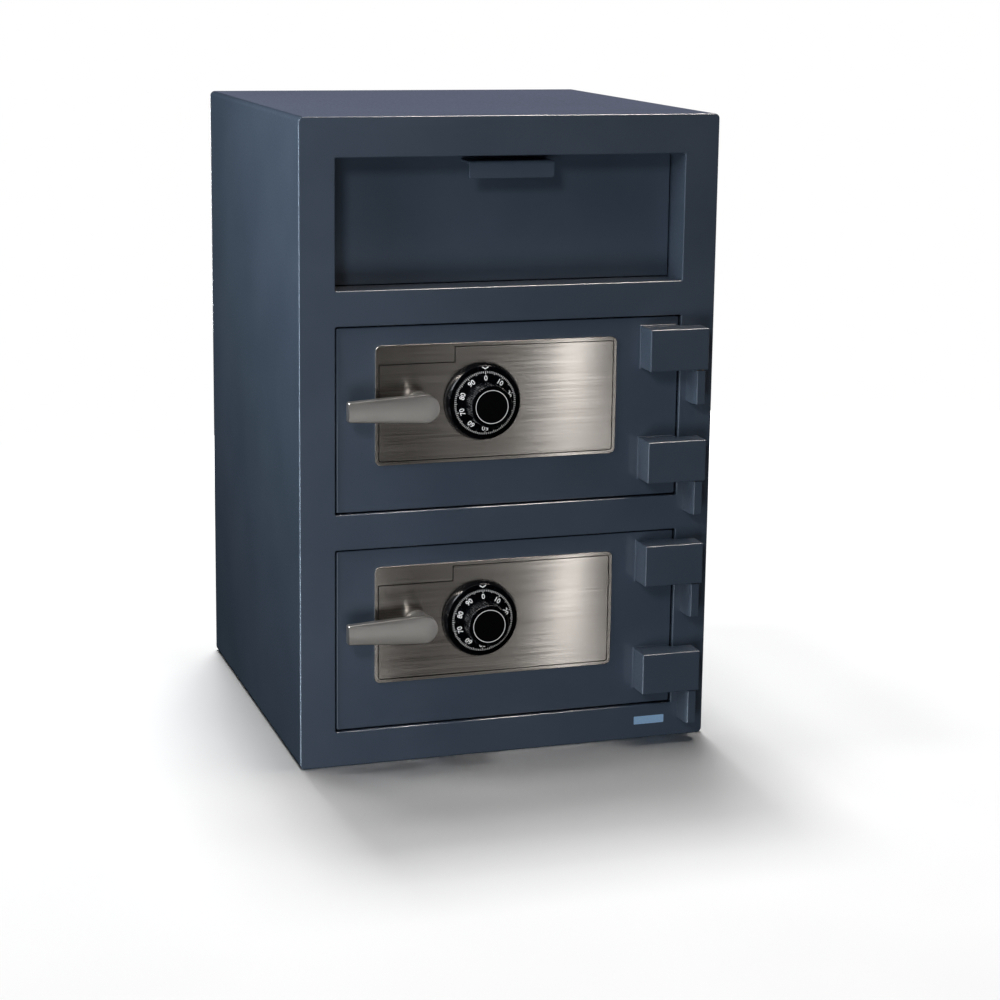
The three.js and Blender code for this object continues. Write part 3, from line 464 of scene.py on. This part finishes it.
def makeHopperPanel(values):
    low, high = boxOf("hopper_panel")
    low.z -= values["panelReach"]
    bm = startPlate(low, high, values["panelCorner"], values["panelEdge"],
                    cornerSteps=4, edgeSteps=3)
    finishPiece(bm, "hopper_front", "hopper", greyPowder, ["hopper_panel"])


def makePullTab(values):
    # a strip folded down at its front, seen from the side and drawn across
    low, high = boxOf("pull_tab")
    sheet = values["tabSheet"]
    bm = bmesh.new()
    section = [(high.y, high.z), (low.y, high.z), (low.y, low.z), (low.y + sheet, low.z),
               (low.y + sheet, high.z - sheet), (high.y, high.z - sheet)]
    side = addFace(bm, [(low.x, y, z) for y, z in section])
    push(bm, [side], (high.x - low.x, 0, 0))
    across = [edge for edge in bm.edges if runsAlong(edge, 0)]
    outer = [edge for edge in across
             if same(edge.verts[0].co.y, low.y) and same(edge.verts[0].co.z, high.z)]
    inner = [edge for edge in across if same(edge.verts[0].co.y, low.y + sheet)
             and same(edge.verts[0].co.z, high.z - sheet)]
    roundEdges(bm, outer, values["tabBend"], segments=6)
    roundEdges(bm, inner, values["tabBend"] - sheet, segments=3)
    ends = [edge for edge in sharpEdges(bm)
            if runsAlong(edge, 1) and all(same(vert.co.z, low.z) for vert in edge.verts)]
    roundEdges(bm, ends, values["tabCorner"], segments=5)
    roundEdges(bm, sharpEdges(bm), values["tabEdge"], segments=2)
    finishPiece(bm, "hopper_tab", "hopper", greyPowder, ["pull_tab"])


makeHopperPanel(hopperValues)
makePullTab(hopperValues)
for nodeName in ("left_cheek", "right_cheek", "deposit_scoop"):
    refineNode(nodeName, "hopper", shadedInnerPowder, edge=0.3)
refineNode("pivot_rod", "hopper", zincPlate, edge=0.3)
print("safe scene: hopper")


doorValues = {"corner": 2, "edge": 1.5}
trimValues = {"corner": 7, "edge": 0.7, "uvTile": 100, "lineInset": 4, "lineWidth": 1.1,
              "lineCorner": 4, "notchWidth": 91, "notchHeight": 18, "lineProud": 0.04}
blockValues = {"frameGap": 3, "edge": 1.4, "stepInset": 2}
postValues = {"chamfer": 3.0, "chamferDepth": 9.0, "edge": 0.7, "pinRadius": 4.75, "pinSides": 48,
              "pinFoot": 10, "rimAngle": 30}  # the last in degrees
beadValues = {"width": 1.3, "height": 1.2, "round": 1.1, "sink": 0.2}


def makeDoorPlate(name, values):
    node = name + "_door_plate"
    bm = startPlate(*boxOf(node), values["corner"], values["edge"], cornerSteps=4, edgeSteps=4)
    finishPiece(bm, name + "_door_slab", name + "_door", greyPowder, [node])


def makeTrimPlate(name, values):
    node = name + "_trim_plate"
    low, high = boxOf(node)
    bm = startPlate(low, high, values["corner"], values["edge"], cornerSteps=8, edgeSteps=3)
    layer = bm.loops.layers.uv.new("UVMap")  # U runs along the hairlines
    tile = values["uvTile"]
    for face in bm.faces:
        for loop in face.loops:
            side, depth, height = loop.vert.co
            loop[layer].uv = (side / tile, height / tile + 2 * depth / tile)
    finishPiece(bm, name + "_trim_sheet", name + "_door", brushed, [node])

    # the etched line, which leaves out the blank name box
    inset, width, height = values["lineInset"], values["notchWidth"], values["notchHeight"]
    left, right, bottom, top = low.x + inset, high.x - inset, low.z + inset, high.z - inset
    path = [(left, bottom), (right, bottom), (right, top), (left + width, top),
            (left + width, top - height), (left, top - height)]
    bm = startFace(path, low.y)
    bm.verts.ensure_lookup_table()
    roundCorners(bm, [bm.verts[0], bm.verts[1], bm.verts[2]], values["lineCorner"], segments=6)
    middle = bm.faces[:]
    bmesh.ops.inset_region(bm, faces=middle, thickness=values["lineWidth"], depth=0,
                           use_even_offset=True, use_boundary=True)
    bmesh.ops.delete(bm, geom=middle, context="FACES_ONLY")
    push(bm, bm.faces[:], (0, -values["lineProud"], 0))
    finishPiece(bm, name + "_trim_line", name + "_door", blackFill)


def makeHingeBlock(name, place, values):
    node = "%s_%s_hinge_block" % (name, place)
    low, high = boxOf(node)
    doorHigh = boxOf(name + "_door_plate")[1]
    seat = outerLow.y - values["frameGap"]  # back of the part that clears the frame
    step = doorHigh.x - values["stepInset"]
    bm = startBlock(low, Vector((high.x, seat, high.z)))
    cutAcross(bm, (step, 0, 0), (1, 0, 0))
    foot = [face for face in bm.faces if same(face.calc_center_median().y, seat)
            and face.calc_center_median().x < step]
    made = bmesh.ops.extrude_face_region(bm, geom=foot)["geom"]
    bmesh.ops.translate(bm, vec=(0, high.y - seat, 0),
                        verts=[item for item in made if isinstance(item, bmesh.types.BMVert)])
    bmesh.ops.delete(bm, geom=foot, context="FACES_ONLY")  # it would lie inside
    bmesh.ops.dissolve_limit(bm, angle_limit=flatAngle, verts=bm.verts, edges=bm.edges)
    seen = [edge for edge in sharpEdges(bm) if reachesBefore(edge, seat)]
    roundEdges(bm, seen, values["edge"], segments=4)
    makeWeldBead("%s_%s_knuckle_bead" % (name, place), Vector((low.x, high.y, low.z)),
                 Vector((step - 2 * beadValues["width"], high.y + beadValues["sink"], high.z)),
                 name + "_door", beadValues)
    finishPiece(bm, "%s_%s_hinge_knuckle" % (name, place), name + "_door",
                greyPowder, [node])


def makeWeldBead(name, low, high, body, values):
    # a low rounded bead round the foot of a part that is welded on
    width = Vector((values["width"], 0, values["width"]))
    bm = startBlock(low - width - Vector((0, values["height"], 0)), high + width)
    roundEdges(bm, rimEdges(bm, low.y - values["height"]), values["round"], segments=4)
    finishPiece(bm, name, body, greyPowder)


def makeHingePost(name, place, values):
    node = "%s_%s_hinge_post" % (name, place)
    low, high = boxOf(node)
    washerLow, washerHigh = boxOf(node.replace("post", "washer"))
    bm = startBlock(low, Vector((high.x, high.y, washerLow.z)))
    upright = [edge for edge in bm.edges if runsAlong(edge, 2) and reachesBefore(edge, high.y)]
    roundEdges(bm, upright, values["chamfer"], segments=1)
    bmesh.ops.translate(bm, vec=(0, values["chamferDepth"] - values["chamfer"], 0),
                        verts=[vert for vert in bm.verts
                               if same(vert.co.y, low.y + values["chamfer"])])
    rims = [edge for edge in sharpEdges(bm, values["rimAngle"]) if reachesBefore(edge, high.y)]
    roundEdges(bm, rims, values["edge"], segments=3)
    reach = high.z - washerLow.z + values["pinFoot"]
    pin = bmesh.ops.create_cone(bm, cap_ends=True, cap_tris=False, segments=values["pinSides"],
                                radius1=values["pinRadius"], radius2=values["pinRadius"],
                                depth=reach)["verts"]
    middle = (washerLow + washerHigh) / 2
    bmesh.ops.translate(bm, vec=(middle.x, middle.y, high.z - reach / 2), verts=pin)
    finishPiece(bm, "%s_%s_hinge_pintle" % (name, place), "root", greyPowder, [node])


for doorName in doorNames:
    makeDoorPlate(doorName, doorValues)
    makeTrimPlate(doorName, trimValues)
    for hingeName in hingeNames:
        makeHingeBlock(doorName, hingeName, blockValues)
        makeHingePost(doorName, hingeName, postValues)
        refineNode("%s_%s_hinge_washer" % (doorName, hingeName), "root", turnedBrass, 0.15)
print("safe scene: doors and hinges")


leverValues = {
    "hubRadius": 16.75, "tipHeight": 23, "tipRound": 2.2, "length": 91.5, "thickness": 11,
    "edge": 1.1, "crown": 1.4, "stripHeight": 2, "stripWidth": 3,
    "neckRadius": 9.5, "neckFlare": 2.5,
    # share of the flare, and depth past the lever's back
    "neckCurve": ((1, -1), (0.9, 0.6), (0.35, 2.5), (0, 7.5)),
}
collarValues = {"radius": 15, "bore": 9.8, "edge": 2.0}


def makeLever(name, values):
    node = name + "_lever_handle"
    low, high = boxOf(node)
    hub = Vector((high.x - values["hubRadius"], low.y, (low.z + high.z) / 2))
    tip = values["tipHeight"] / 2
    lean = math.asin((values["hubRadius"] - tip) / values["length"])
    back = low.y + values["thickness"]
    bm = bmesh.new()
    start = bm.verts.new(hub + Vector((values["hubRadius"] * math.sin(-lean), 0,
                                       -values["hubRadius"] * math.cos(lean))))
    bmesh.ops.spin(bm, geom=[start], cent=hub, axis=(0, -1, 0), dvec=(0, 0, 0),
                   angle=math.pi + 2 * lean, steps=40, use_duplicate=False)
    tips = [bm.verts.new((hub.x - values["length"], low.y, hub.z + side * tip)) for side in (1, -1)]
    ends = [vert for vert in bm.verts if len(vert.link_edges) == 1]
    upper = max(ends, key=lambda vert: vert.co.z)
    lower = min(ends, key=lambda vert: vert.co.z)
    for pair in ((upper, tips[0]), (tips[0], tips[1]), (tips[1], lower)):
        bm.edges.new(pair)
    bmesh.ops.contextual_create(bm, geom=bm.edges[:])
    bmesh.ops.translate(bm, vec=(0, values["crown"], 0), verts=bm.verts)
    push(bm, bm.faces[:], (0, values["thickness"] - values["crown"], 0))
    roundEdges(bm, [edge for edge in sharpEdges(bm) if runsAlong(edge, 1)],
               values["tipRound"], segments=4)
    level = low.y + values["crown"]
    roundEdges(bm, rimEdges(bm, level), values["edge"], segments=3)
    roundEdges(bm, rimEdges(bm, back), values["edge"], segments=3)

    # the face is cut into strips, seven either way of the middle and six on the hub, and crowned
    cuts = [((0, 0, hub.z + step * values["stripHeight"]), (0, 0, 1)) for step in range(-7, 8)]
    cuts += [((hub.x + step * values["stripWidth"], 0, 0), (1, 0, 0)) for step in range(6)]
    for place, way in cuts:
        face = [item for item in bm.faces if same(item.calc_center_median().y, level)]
        edges = {edge for item in face for edge in item.edges}
        verts = {vert for item in face for vert in item.verts}
        cutAcross(bm, place, way, face + list(edges) + list(verts))
    for vert in bm.verts:
        if same(vert.co.y, level):
            away = hub.x - vert.co.x
            width = values["hubRadius"] - math.sin(lean) * max(away, 0)
            offset = math.hypot(min(away, 0), vert.co.z - hub.z)
            vert.co.y -= values["crown"] * max(0, 1 - (offset / width) ** 2)
    radius, flare = values["neckRadius"], values["neckFlare"]
    curve = [(radius + share * flare, back + depth) for share, depth in values["neckCurve"]]
    turnProfile(bm, [(0, curve[0][1])] + curve + [(radius, high.y), (0, high.y)], hub, steps=64)
    finishPiece(bm, name + "_lever", name + "_handle", satinNickel, [node],
                weighted=False)


def makeCollar(name, values):
    node = name + "_handle_collar"
    low, high = boxOf(node)
    centre = (low + high) / 2
    radius, bore, edge = values["radius"], values["bore"], values["edge"]
    middle = 0.3 * edge  # of the rounding, in from the corner
    bm = bmesh.new()
    turnProfile(bm, [(bore, high.y), (radius, high.y), (radius, low.y + edge),
                     (radius - middle, low.y + middle), (radius - edge, low.y),
                     (bore, low.y), (bore, high.y)], centre, steps=72)
    finishPiece(bm, name + "_collar", name + "_door", satinNickel, [node])


for doorName in doorNames:
    makeLever(doorName, leverValues)
    makeCollar(doorName, collarValues)
print("safe scene: levers")


dialValues = {
    "ringRadius": 46, "ringShoulder": 7, "ringEdge": 2, "bore": 5,
    # in from the ring's side and back from its front, in shares of its edge
    "ringCurve": ((0.5, 2.2), (0.85, 1), (1.2, 0.3), (1.6, 0)),
    "well": 38.4, "wellLip": 0.5, "wellGap": 0.4,
    "dialRadius": 38, "rimHeight": 5, "rimEdge": 0.4, "coneRise": 3, "bandWidth": 12,
    "knobRadius": 25, "knobFoot": 1, "knobEdge": 1.6, "ridges": 60, "ridgeDepth": 0.55,
    "knobCurve": ((0.62, 0.35), (0.38, 0.8)),  # shares of the knob's edge, forwards and inwards
    "marks": 100, "markWidth": 0.42, "markLength": 2.2, "fiveLength": 3.2, "tenLength": 3.9,
    "markRadius": 37.4, "markProud": 0.08,
    "numberRadius": 29.3, "numberHeight": 6.2, "numberWeight": 0.03, "numberSteps": 3,
    "faceRing": 19.4, "faceRingWidth": 0.6, "facePrint": 0.04, "foilProud": 0.02, "foilSink": 0.05,
    "arrow": ((0, 39.4), (4.2, 42), (3.36, 42.8), (0, 40.7), (-3.36, 42.8), (-4.2, 42)),
}
fontShare = 1.37  # font size over the height of its numbers


def dialCentre(name):
    low, high = boxOf(name + "_dial")
    return (low + high) / 2


def makeDialRing(name, values):
    node = name + "_dial_ring"
    low, high = boxOf(node)
    centre = dialCentre(name)
    radius, bore, well, lip = (values[k] for k in ("ringRadius", "bore", "well", "wellLip"))
    floor = boxOf(name + "_dial")[1].y + values["wellGap"]
    curve = [(radius - inwards * values["ringEdge"], low.y + back * values["ringEdge"])
             for inwards, back in values["ringCurve"]]
    bm = bmesh.new()
    turnProfile(bm, [(bore, high.y), (radius, high.y), (radius, low.y + values["ringShoulder"])]
                + curve + [(well + lip, low.y), (well, low.y + lip), (well, floor), (bore, floor),
                           (bore, high.y)], centre, steps=128)
    finishPiece(bm, name + "_dial_bezel", name + "_door", blackEnamel, [node])

    # the index, a winged arrow on the ring's flat that points at the dial
    bm = startFace([(centre.x + x, centre.z + z) for x, z in values["arrow"]], low.y)
    push(bm, bm.faces[:], (0, -values["markProud"], 0))
    # the arrow takes the glowing white fill: painted light
    finishPiece(bm, name + "_dial_index", name + "_door", glowingWhiteFill)


def makeDial(name, values):
    node = name + "_dial"
    low, high = boxOf(node)
    centre = dialCentre(name)
    radius, band, edge = values["dialRadius"], values["bandWidth"], values["rimEdge"]
    rim = high.y - values["rimHeight"]
    crown = rim - values["coneRise"]
    foot = crown + values["knobFoot"]
    shoulder = low.y + values["knobEdge"]
    bm = bmesh.new()
    turnProfile(bm, [(0, high.y), (radius, high.y), (radius, rim + edge), (radius - edge, rim),
                     (radius - band, crown), (0, crown)], centre, steps=128)
    # knurled knob: a many-sided disc whose every third corner line is drawn in
    sides = 3 * values["ridges"]
    knob = bmesh.ops.create_circle(bm, cap_ends=True, segments=sides, radius=values["knobRadius"],
                                   matrix=Matrix.Translation((centre.x, foot, centre.z))
                                   @ Matrix.Rotation(math.pi / 2, 4, "X"))["verts"]
    drawn = [vert for vert in knob
             if round(math.atan2(vert.co.z - centre.z, vert.co.x - centre.x)
                      / math.tau * sides) % 3 == 0]
    share = 1 - values["ridgeDepth"] / values["knobRadius"]
    bmesh.ops.scale(bm, vec=(share, 1, share), verts=drawn,
                    space=Matrix.Translation((-centre.x, 0, -centre.z)))
    push(bm, [face for face in bm.faces if len(face.verts) == sides], (0, shoulder - foot, 0))
    top = [face for face in bm.faces
           if len(face.verts) == sides and same(face.calc_center_median().y, shoulder)]
    for rise, pull in values["knobCurve"]:
        bmesh.ops.inset_region(bm, faces=top, thickness=pull * values["knobEdge"],
                               depth=rise * (values["knobEdge"] - values["facePrint"]),
                               use_even_offset=True)
    finishPiece(bm, name + "_dial_knob", name + "_dial", blackEnamel, [node],
                sharp=28)

    # foil disc and white line on the knob's face
    bm = bmesh.new()
    near = values["faceRing"] - values["faceRingWidth"] / 2
    far = values["faceRing"] + values["faceRingWidth"] / 2
    front = low.y + values["facePrint"] - values["foilProud"]
    sunk = low.y + values["facePrint"] + values["foilSink"]
    turnProfile(bm, [(0, sunk), (near, sunk), (near, front), (0, front)], centre, steps=96)
    finishPiece(bm, name + "_dial_foil", name + "_dial", mattBlack)
    bm = bmesh.new()
    turnProfile(bm, [(near, sunk), (far, sunk), (far, low.y), (near, low.y), (near, sunk)],
                centre, steps=96)

    # graduations and numbers lie on the sloping band
    slope = math.atan2(values["coneRise"], band)

    def bandPlace(turn, distance):  # at a turn clockwise from the top, on the cone
        depth = rim - (radius - distance) * math.tan(slope)
        return (Matrix.Translation((centre.x, 0, centre.z)) @ Matrix.Rotation(turn, 4, "Y")
                @ Matrix.Translation((0, depth, distance)) @ Matrix.Rotation(-slope, 4, "X"))

    for mark in range(values["marks"]):
        length = values["markLength"]
        length = values["fiveLength"] if mark % 5 == 0 else length
        length = values["tenLength"] if mark % 10 == 0 else length
        turn = math.tau * mark / values["marks"]
        size = Matrix.Diagonal((values["markWidth"], 2 * values["markProud"], length, 1))
        place = bandPlace(turn, values["markRadius"] - length / 2)
        bmesh.ops.create_cube(bm, size=1.0, matrix=place @ size)
    for number in range(0, values["marks"], 10):
        turn = math.tau * number / values["marks"]
        curve = bpy.data.curves.new("number", "FONT")
        curve.body = str(number)
        curve.size = values["numberHeight"] * fontShare
        curve.align_x, curve.align_y = "CENTER", "CENTER"
        curve.extrude = values["markProud"]
        curve.offset = values["numberWeight"]
        curve.resolution_u = values["numberSteps"]
        word = bpy.data.objects.new("number", curve)
        letters = bpy.data.meshes.new_from_object(word)
        place = bandPlace(turn, values["numberRadius"])
        letters.transform(place @ Matrix.Rotation(math.pi / 2, 4, "X"))
        bm.from_mesh(letters)
        bpy.data.objects.remove(word)
        bpy.data.curves.remove(curve)
        bpy.data.meshes.remove(letters)
    # marks, numbers and the knob's white line take the glowing white fill: painted light
    finishPiece(bm, name + "_dial_marks", name + "_dial", glowingWhiteFill, weighted=False)


for doorName in doorNames:
    makeDialRing(doorName, dialValues)
    makeDial(doorName, dialValues)
print("safe scene: dials")


innerPieces = {
    "inner_cover": ("door", "inner_paint", shadedInnerPowder, 0.4),
    "dead_bar": ("door", "zinc_steel", zincPlate, 0.5),
    "hard_plate": ("door", "hard_steel", hardSteel, 0.3),
    "lock_case": ("door", "lock_alloy", castAlloy, 0.5),
    "bolt_guide": ("door", "zinc_steel", zincPlate, 0.3),
    "bolt_bar": ("bolts", "zinc_steel", zincPlate, 0.3),
    "top_bolt": ("bolts", "zinc_steel", zincPlate, 0.3),
    "bottom_bolt": ("bolts", "zinc_steel", zincPlate, 0.3),
    "throw_crank": ("handle", "zinc_steel", zincPlate, 0.4),
    "handle_shaft": ("handle", "zinc_steel", zincPlate, 0.3),
    "lock_bolt": ("lock", "brass", turnedBrass, 0.3),
    "dial_spindle": ("dial", "brass", turnedBrass, 0.3),
}
for doorName in doorNames:
    for nodeName, (bodyName, slotName, finish, edgeSize) in innerPieces.items():
        refineNode("%s_%s" % (doorName, nodeName), "%s_%s" % (doorName, bodyName), finish,
                   edgeSize)
print("safe scene: boltwork")

# sizes of the floor in metres, its cloud and the drop under the safe in millimetres
stageValues = {"floor": "#f6f6f6", "floorPale": "#f9f9f9", "cloud": 330, "floorSize": 3.4,
               "fadeStart": 1.2, "fadeEnd": 1.6, "drop": 0.5}


def makeFloor(values):
    bm = bmesh.new()
    bmesh.ops.create_grid(bm, x_segments=1, y_segments=1, size=values["floorSize"] / 2)
    mesh = bpy.data.meshes.new("studio_floor")
    bm.to_mesh(mesh)
    bm.free()
    material = startMaterial("palePaperFloor")
    place = addNode(material, "ShaderNodeTexCoord").outputs["Object"]
    noise = addNode(material, "ShaderNodeTexNoise",
                    {"Scale": 1 / (values["cloud"] * mm), "Detail": 2.0}, {"Vector": place})
    colour = addNode(material, "ShaderNodeValToRGB",
                     {"stops": [(0.3, values["floor"]), (0.7, values["floorPale"])]},
                     {"Fac": noise.outputs["Fac"]})
    # towards its edge the paper glows up to the white round it, so the edge is never seen
    away = addNode(material, "ShaderNodeVectorMath", {"operation": "LENGTH"}, {0: place})
    fade = addNode(material, "ShaderNodeMapRange",
                   {"From Min": values["fadeStart"], "From Max": values["fadeEnd"]},
                   {"Value": away.outputs["Value"]})
    closeMaterial(material, {"Roughness": 0.9, "Specular IOR Level": 0.0,
                             "Emission Color": linearColour("#ffffff")},
                  {"Base Color": colour.outputs["Color"],
                   "Emission Strength": fade.outputs["Result"]})
    mesh.materials.append(material)
    floor = bpy.data.objects.new("studio_floor", mesh)
    floor.location.z = -values["drop"] * mm
    floor.visible_diffuse = False
    floor.visible_glossy = False
    bpy.context.collection.objects.link(floor)
    return floor


overheadAim = (0, -0.25, 0)
overheadValues = {  # lamps high over the safe and behind it: place and size in metres, watts
    "overheadFront": ((0.8, 0.2, 12.0), (3.0, 1.4), 318),
    "overheadLeft": ((-4.5, 1.6, 12.0), (1.6, 1.4), 162),
    "overheadMiddleLeft": ((-1.5, 3.0, 12.0), (1.6, 1.4), 215),
    "overheadMiddleRight": ((1.5, 3.0, 12.0), (1.6, 1.4), 149),
    "overheadRear": ((0.0, 4.4, 12.0), (1.6, 1.4), 268),
    "overheadRearWide": ((0.8, 4.4, 12.0), (3.0, 1.4), 304),
    "overheadFar": ((0.0, 5.8, 12.0), (1.6, 1.4), 299),
    "overheadFarRight": ((1.5, 5.8, 12.0), (1.6, 1.4), 161),
}

# lamps on the safe: place, aim and size in metres, watts, colour, which of its pieces they light
lightValues = {
    "topSoft": ((0.5, 0.3, 2.6), (0.1, 0.05, 0.76), (1.0, 0.6), 9.5, "#f2f0ff", "all"),
    "topGlint": ((0.78, -0.75, 2.62), (0.1, -0.2, 0.6), (1.2, 0.4), 180, "#fff4ec", "front"),
    "leftSoft": ((-1.0, -0.3, 1.05), (-0.25, -0.06, 0.6), (0.5, 0.5), 10.4, "#f2f8ff", "all"),
    "leftStrip": ((-1.3, -0.72, 0.25), (-0.2, -0.25, 0.4), (0.25, 1.3), 2.0, "#f2f8ff", "all"),
    "leftGlint": ((-1.3, -0.1, 0.1), (-0.2, -0.25, 0.4), (0.28, 1.5), 45, "#dceeff", "front"),
    "leftSheen": ((-1.3, -0.7, 0.1), (-0.2, -0.25, 0.4), (0.35, 1.5), 8, "#dceeff", "front"),
    "keySoft": ((-1.45, -2.45, 1.85), (0, -0.25, 0.4), (0.5, 0.5), 15, "#f2f7ff", "paint"),
    "frontSoft": ((-0.6, -1.6, -0.15), (0, -0.25, 0.2), (0.9, 0.6), 6.4, "#eff5ff", "front"),
    "rightSoft": ((2.6, 0.3, 0.95), (0, 0, 0.4), (1.4, 1.2), 20, "#ffffff", "all"),
    "backSoft": ((1.3, 3.2, 0.75), (0, 0, 0.5), (2.8, 0.9), 3.2, "#d4dcff", "all"),
    "rearSoft": ((0.0, 2.4, 0.4), (0, 0.25, 0.4), (0.48, 0.6), 22, "#f4f7ff", "all"),
    "innerSoft": ((0.0, -2.4, 0.5), (0, 0, 0.4), (0.4, 0.4), 16, "#f4f7ff", "inner"),
    "neckGlint": ((-1.1, -0.75, 1.8), (-0.1, -0.28, 0.3), (0.3, 0.3), 70, "#fffaf4", "metal"),
    "sideGlint": ((1.3, -0.65, 0.15), (-0.1, -0.28, 0.3), (0.3, 1.2), 3, "#fffaf4", "metal"),
    "leverSoft": ((0.44, -3.4, -0.6), (-0.15, -0.28, 0.3), (0.36, 1.1), 2.0, "#fffdfa", "metal"),
    "rightStrip": ((1.225, -3.4, 0.0), (0.09, -0.25, 0.35), (0.05, 3.0), 3.3, "#fffdfa", "metal"),
    "rightPanel": ((1.0, -3.42, 0.0), (0.09, -0.25, 0.35), (0.36, 3.0), 0.6, "#fffdfa", "metal"),
    "dimPanel": ((0.55, -3.44, 0.0), (-0.1, -0.25, 0.35), (0.9, 3.0), 0.46, "#fffaf4", "metal"),
    "leftPanel": ((-1.2, -3.3, 0.0), (0, -0.25, 0.35), (2.6, 3.0), 8.0, "#f8f9ff", "metal"),
    "farPanel": ((2.8, -2.9, 0.0), (0, -0.25, 0.35), (2.0, 3.0), 7.0, "#f8f9ff", "metal"),
    "lowPanel": ((0.3, -1.7, -1.7), (0, -0.25, 0.3), (3.0, 1.8), 5.0, "#fffaf4", "metal"),
}
glintNames = ("topGlint", "leftGlint", "leftSheen", "neckGlint", "sideGlint")  # only glints


def groupOf(name, things):
    group = bpy.data.collections.new(name)
    for thing in things:
        group.objects.link(thing)
    return group


def addLamp(name, place, aim, size, power, colour, group):
    data = bpy.data.lights.new(name, "AREA")
    data.shape = "RECTANGLE"
    data.size, data.size_y = size
    data.energy = power
    data.color = linearColour(colour)[:3]
    lamp = bpy.data.objects.new(name, data)
    lamp.location = place
    lamp.rotation_euler = (Vector(aim) - Vector(place)).to_track_quat("-Z", "Y").to_euler()
    lamp.visible_camera = False
    bpy.context.collection.objects.link(lamp)
    lamp.light_linking.receiver_collection = group
    return lamp


shellNames = ("safe_body", "safe_back")  # their sides, top and back turn away from the front


def makeLights(values, things):  # soft boxes that light the safe alone, or only some of it
    bright = {brushed, satinNickel, turnedBrass}
    metal = [thing for thing in things if bright & set(thing.data.materials)]
    paint = [thing for thing in things if thing not in metal]
    front = [thing for thing in paint if greyPowder in set(thing.data.materials)
             and thing.name not in shellNames]
    inner = [thing for thing in paint if thing.name in shellNames
             or {shadedInnerPowder, zincPlate, hardSteel, castAlloy} & set(thing.data.materials)]
    groups = {"all": groupOf("safe_lit", things), "metal": groupOf("metal_lit", metal),
              "paint": groupOf("paint_lit", paint), "front": groupOf("front_lit", front),
              "inner": groupOf("inner_lit", inner)}
    for name, (place, aim, size, power, colour, lit) in values.items():
        lamp = addLamp(name, place, aim, size, power, colour, groups[lit])
        lamp.light_linking.blocker_collection = groups["all"]
        lamp.visible_diffuse = name not in glintNames


def makeOverhead(values, floor):  # lights the floor alone, so the shadow falls to the front right
    group = groupOf("floor_lit", [floor])
    for name, (place, size, power) in values.items():
        addLamp(name, place, overheadAim, size, power, "#ffffff", group)


worldValues = {"colour": "#ffffff", "strength": 1.0}


def makeWorld(values):
    world = bpy.data.worlds.new("white_studio")
    bpy.context.scene.world = world
    world.use_nodes = True
    background = world.node_tree.nodes["Background"]
    background.inputs["Color"].default_value = linearColour(values["colour"])
    background.inputs["Strength"].default_value = values["strength"]
    # the white round the floor is a backdrop only: the lamps alone light the safe
    world.cycles_visibility.diffuse = False
    world.cycles_visibility.glossy = False


cameraValues = {"azimuth": 18.261, "elevation": 11.165, "roll": 0.78,  # degrees
                "place": (-0.8503, -2.8108, 0.9382), "farLimit": 50,  # metres
                "lens": 84.26, "sensor": 36, "shift": (-0.0057, -0.08)}


def makeCamera(values):
    azimuth, elevation, roll = (math.radians(values[k]) for k in ("azimuth", "elevation", "roll"))
    level = math.cos(elevation)
    ahead = Vector((level * math.sin(azimuth), level * math.cos(azimuth), -math.sin(elevation)))
    side = ahead.cross(Vector((0, 0, 1))).normalized()
    above = side.cross(ahead)
    right = math.cos(roll) * side + math.sin(roll) * above
    up = math.cos(roll) * above - math.sin(roll) * side
    data = bpy.data.cameras.new("photo_camera")
    data.lens = values["lens"]
    data.sensor_width = values["sensor"]
    data.shift_x, data.shift_y = values["shift"]
    data.clip_end = values["farLimit"]
    camera = bpy.data.objects.new("photo_camera", data)
    turn = Matrix((right, up, -ahead)).transposed().to_4x4()
    camera.matrix_world = Matrix.Translation(values["place"]) @ turn
    bpy.context.collection.objects.link(camera)
    bpy.context.scene.camera = camera


safeThings = [thing for thing in bpy.context.scene.objects if thing.type == "MESH"]
studioFloor = makeFloor(stageValues)
makeOverhead(overheadValues, studioFloor)
makeLights(lightValues, safeThings)
makeWorld(worldValues)
makeCamera(cameraValues)
bpy.context.scene.view_settings.view_transform = "Standard"
print("safe scene: floor, light and camera")
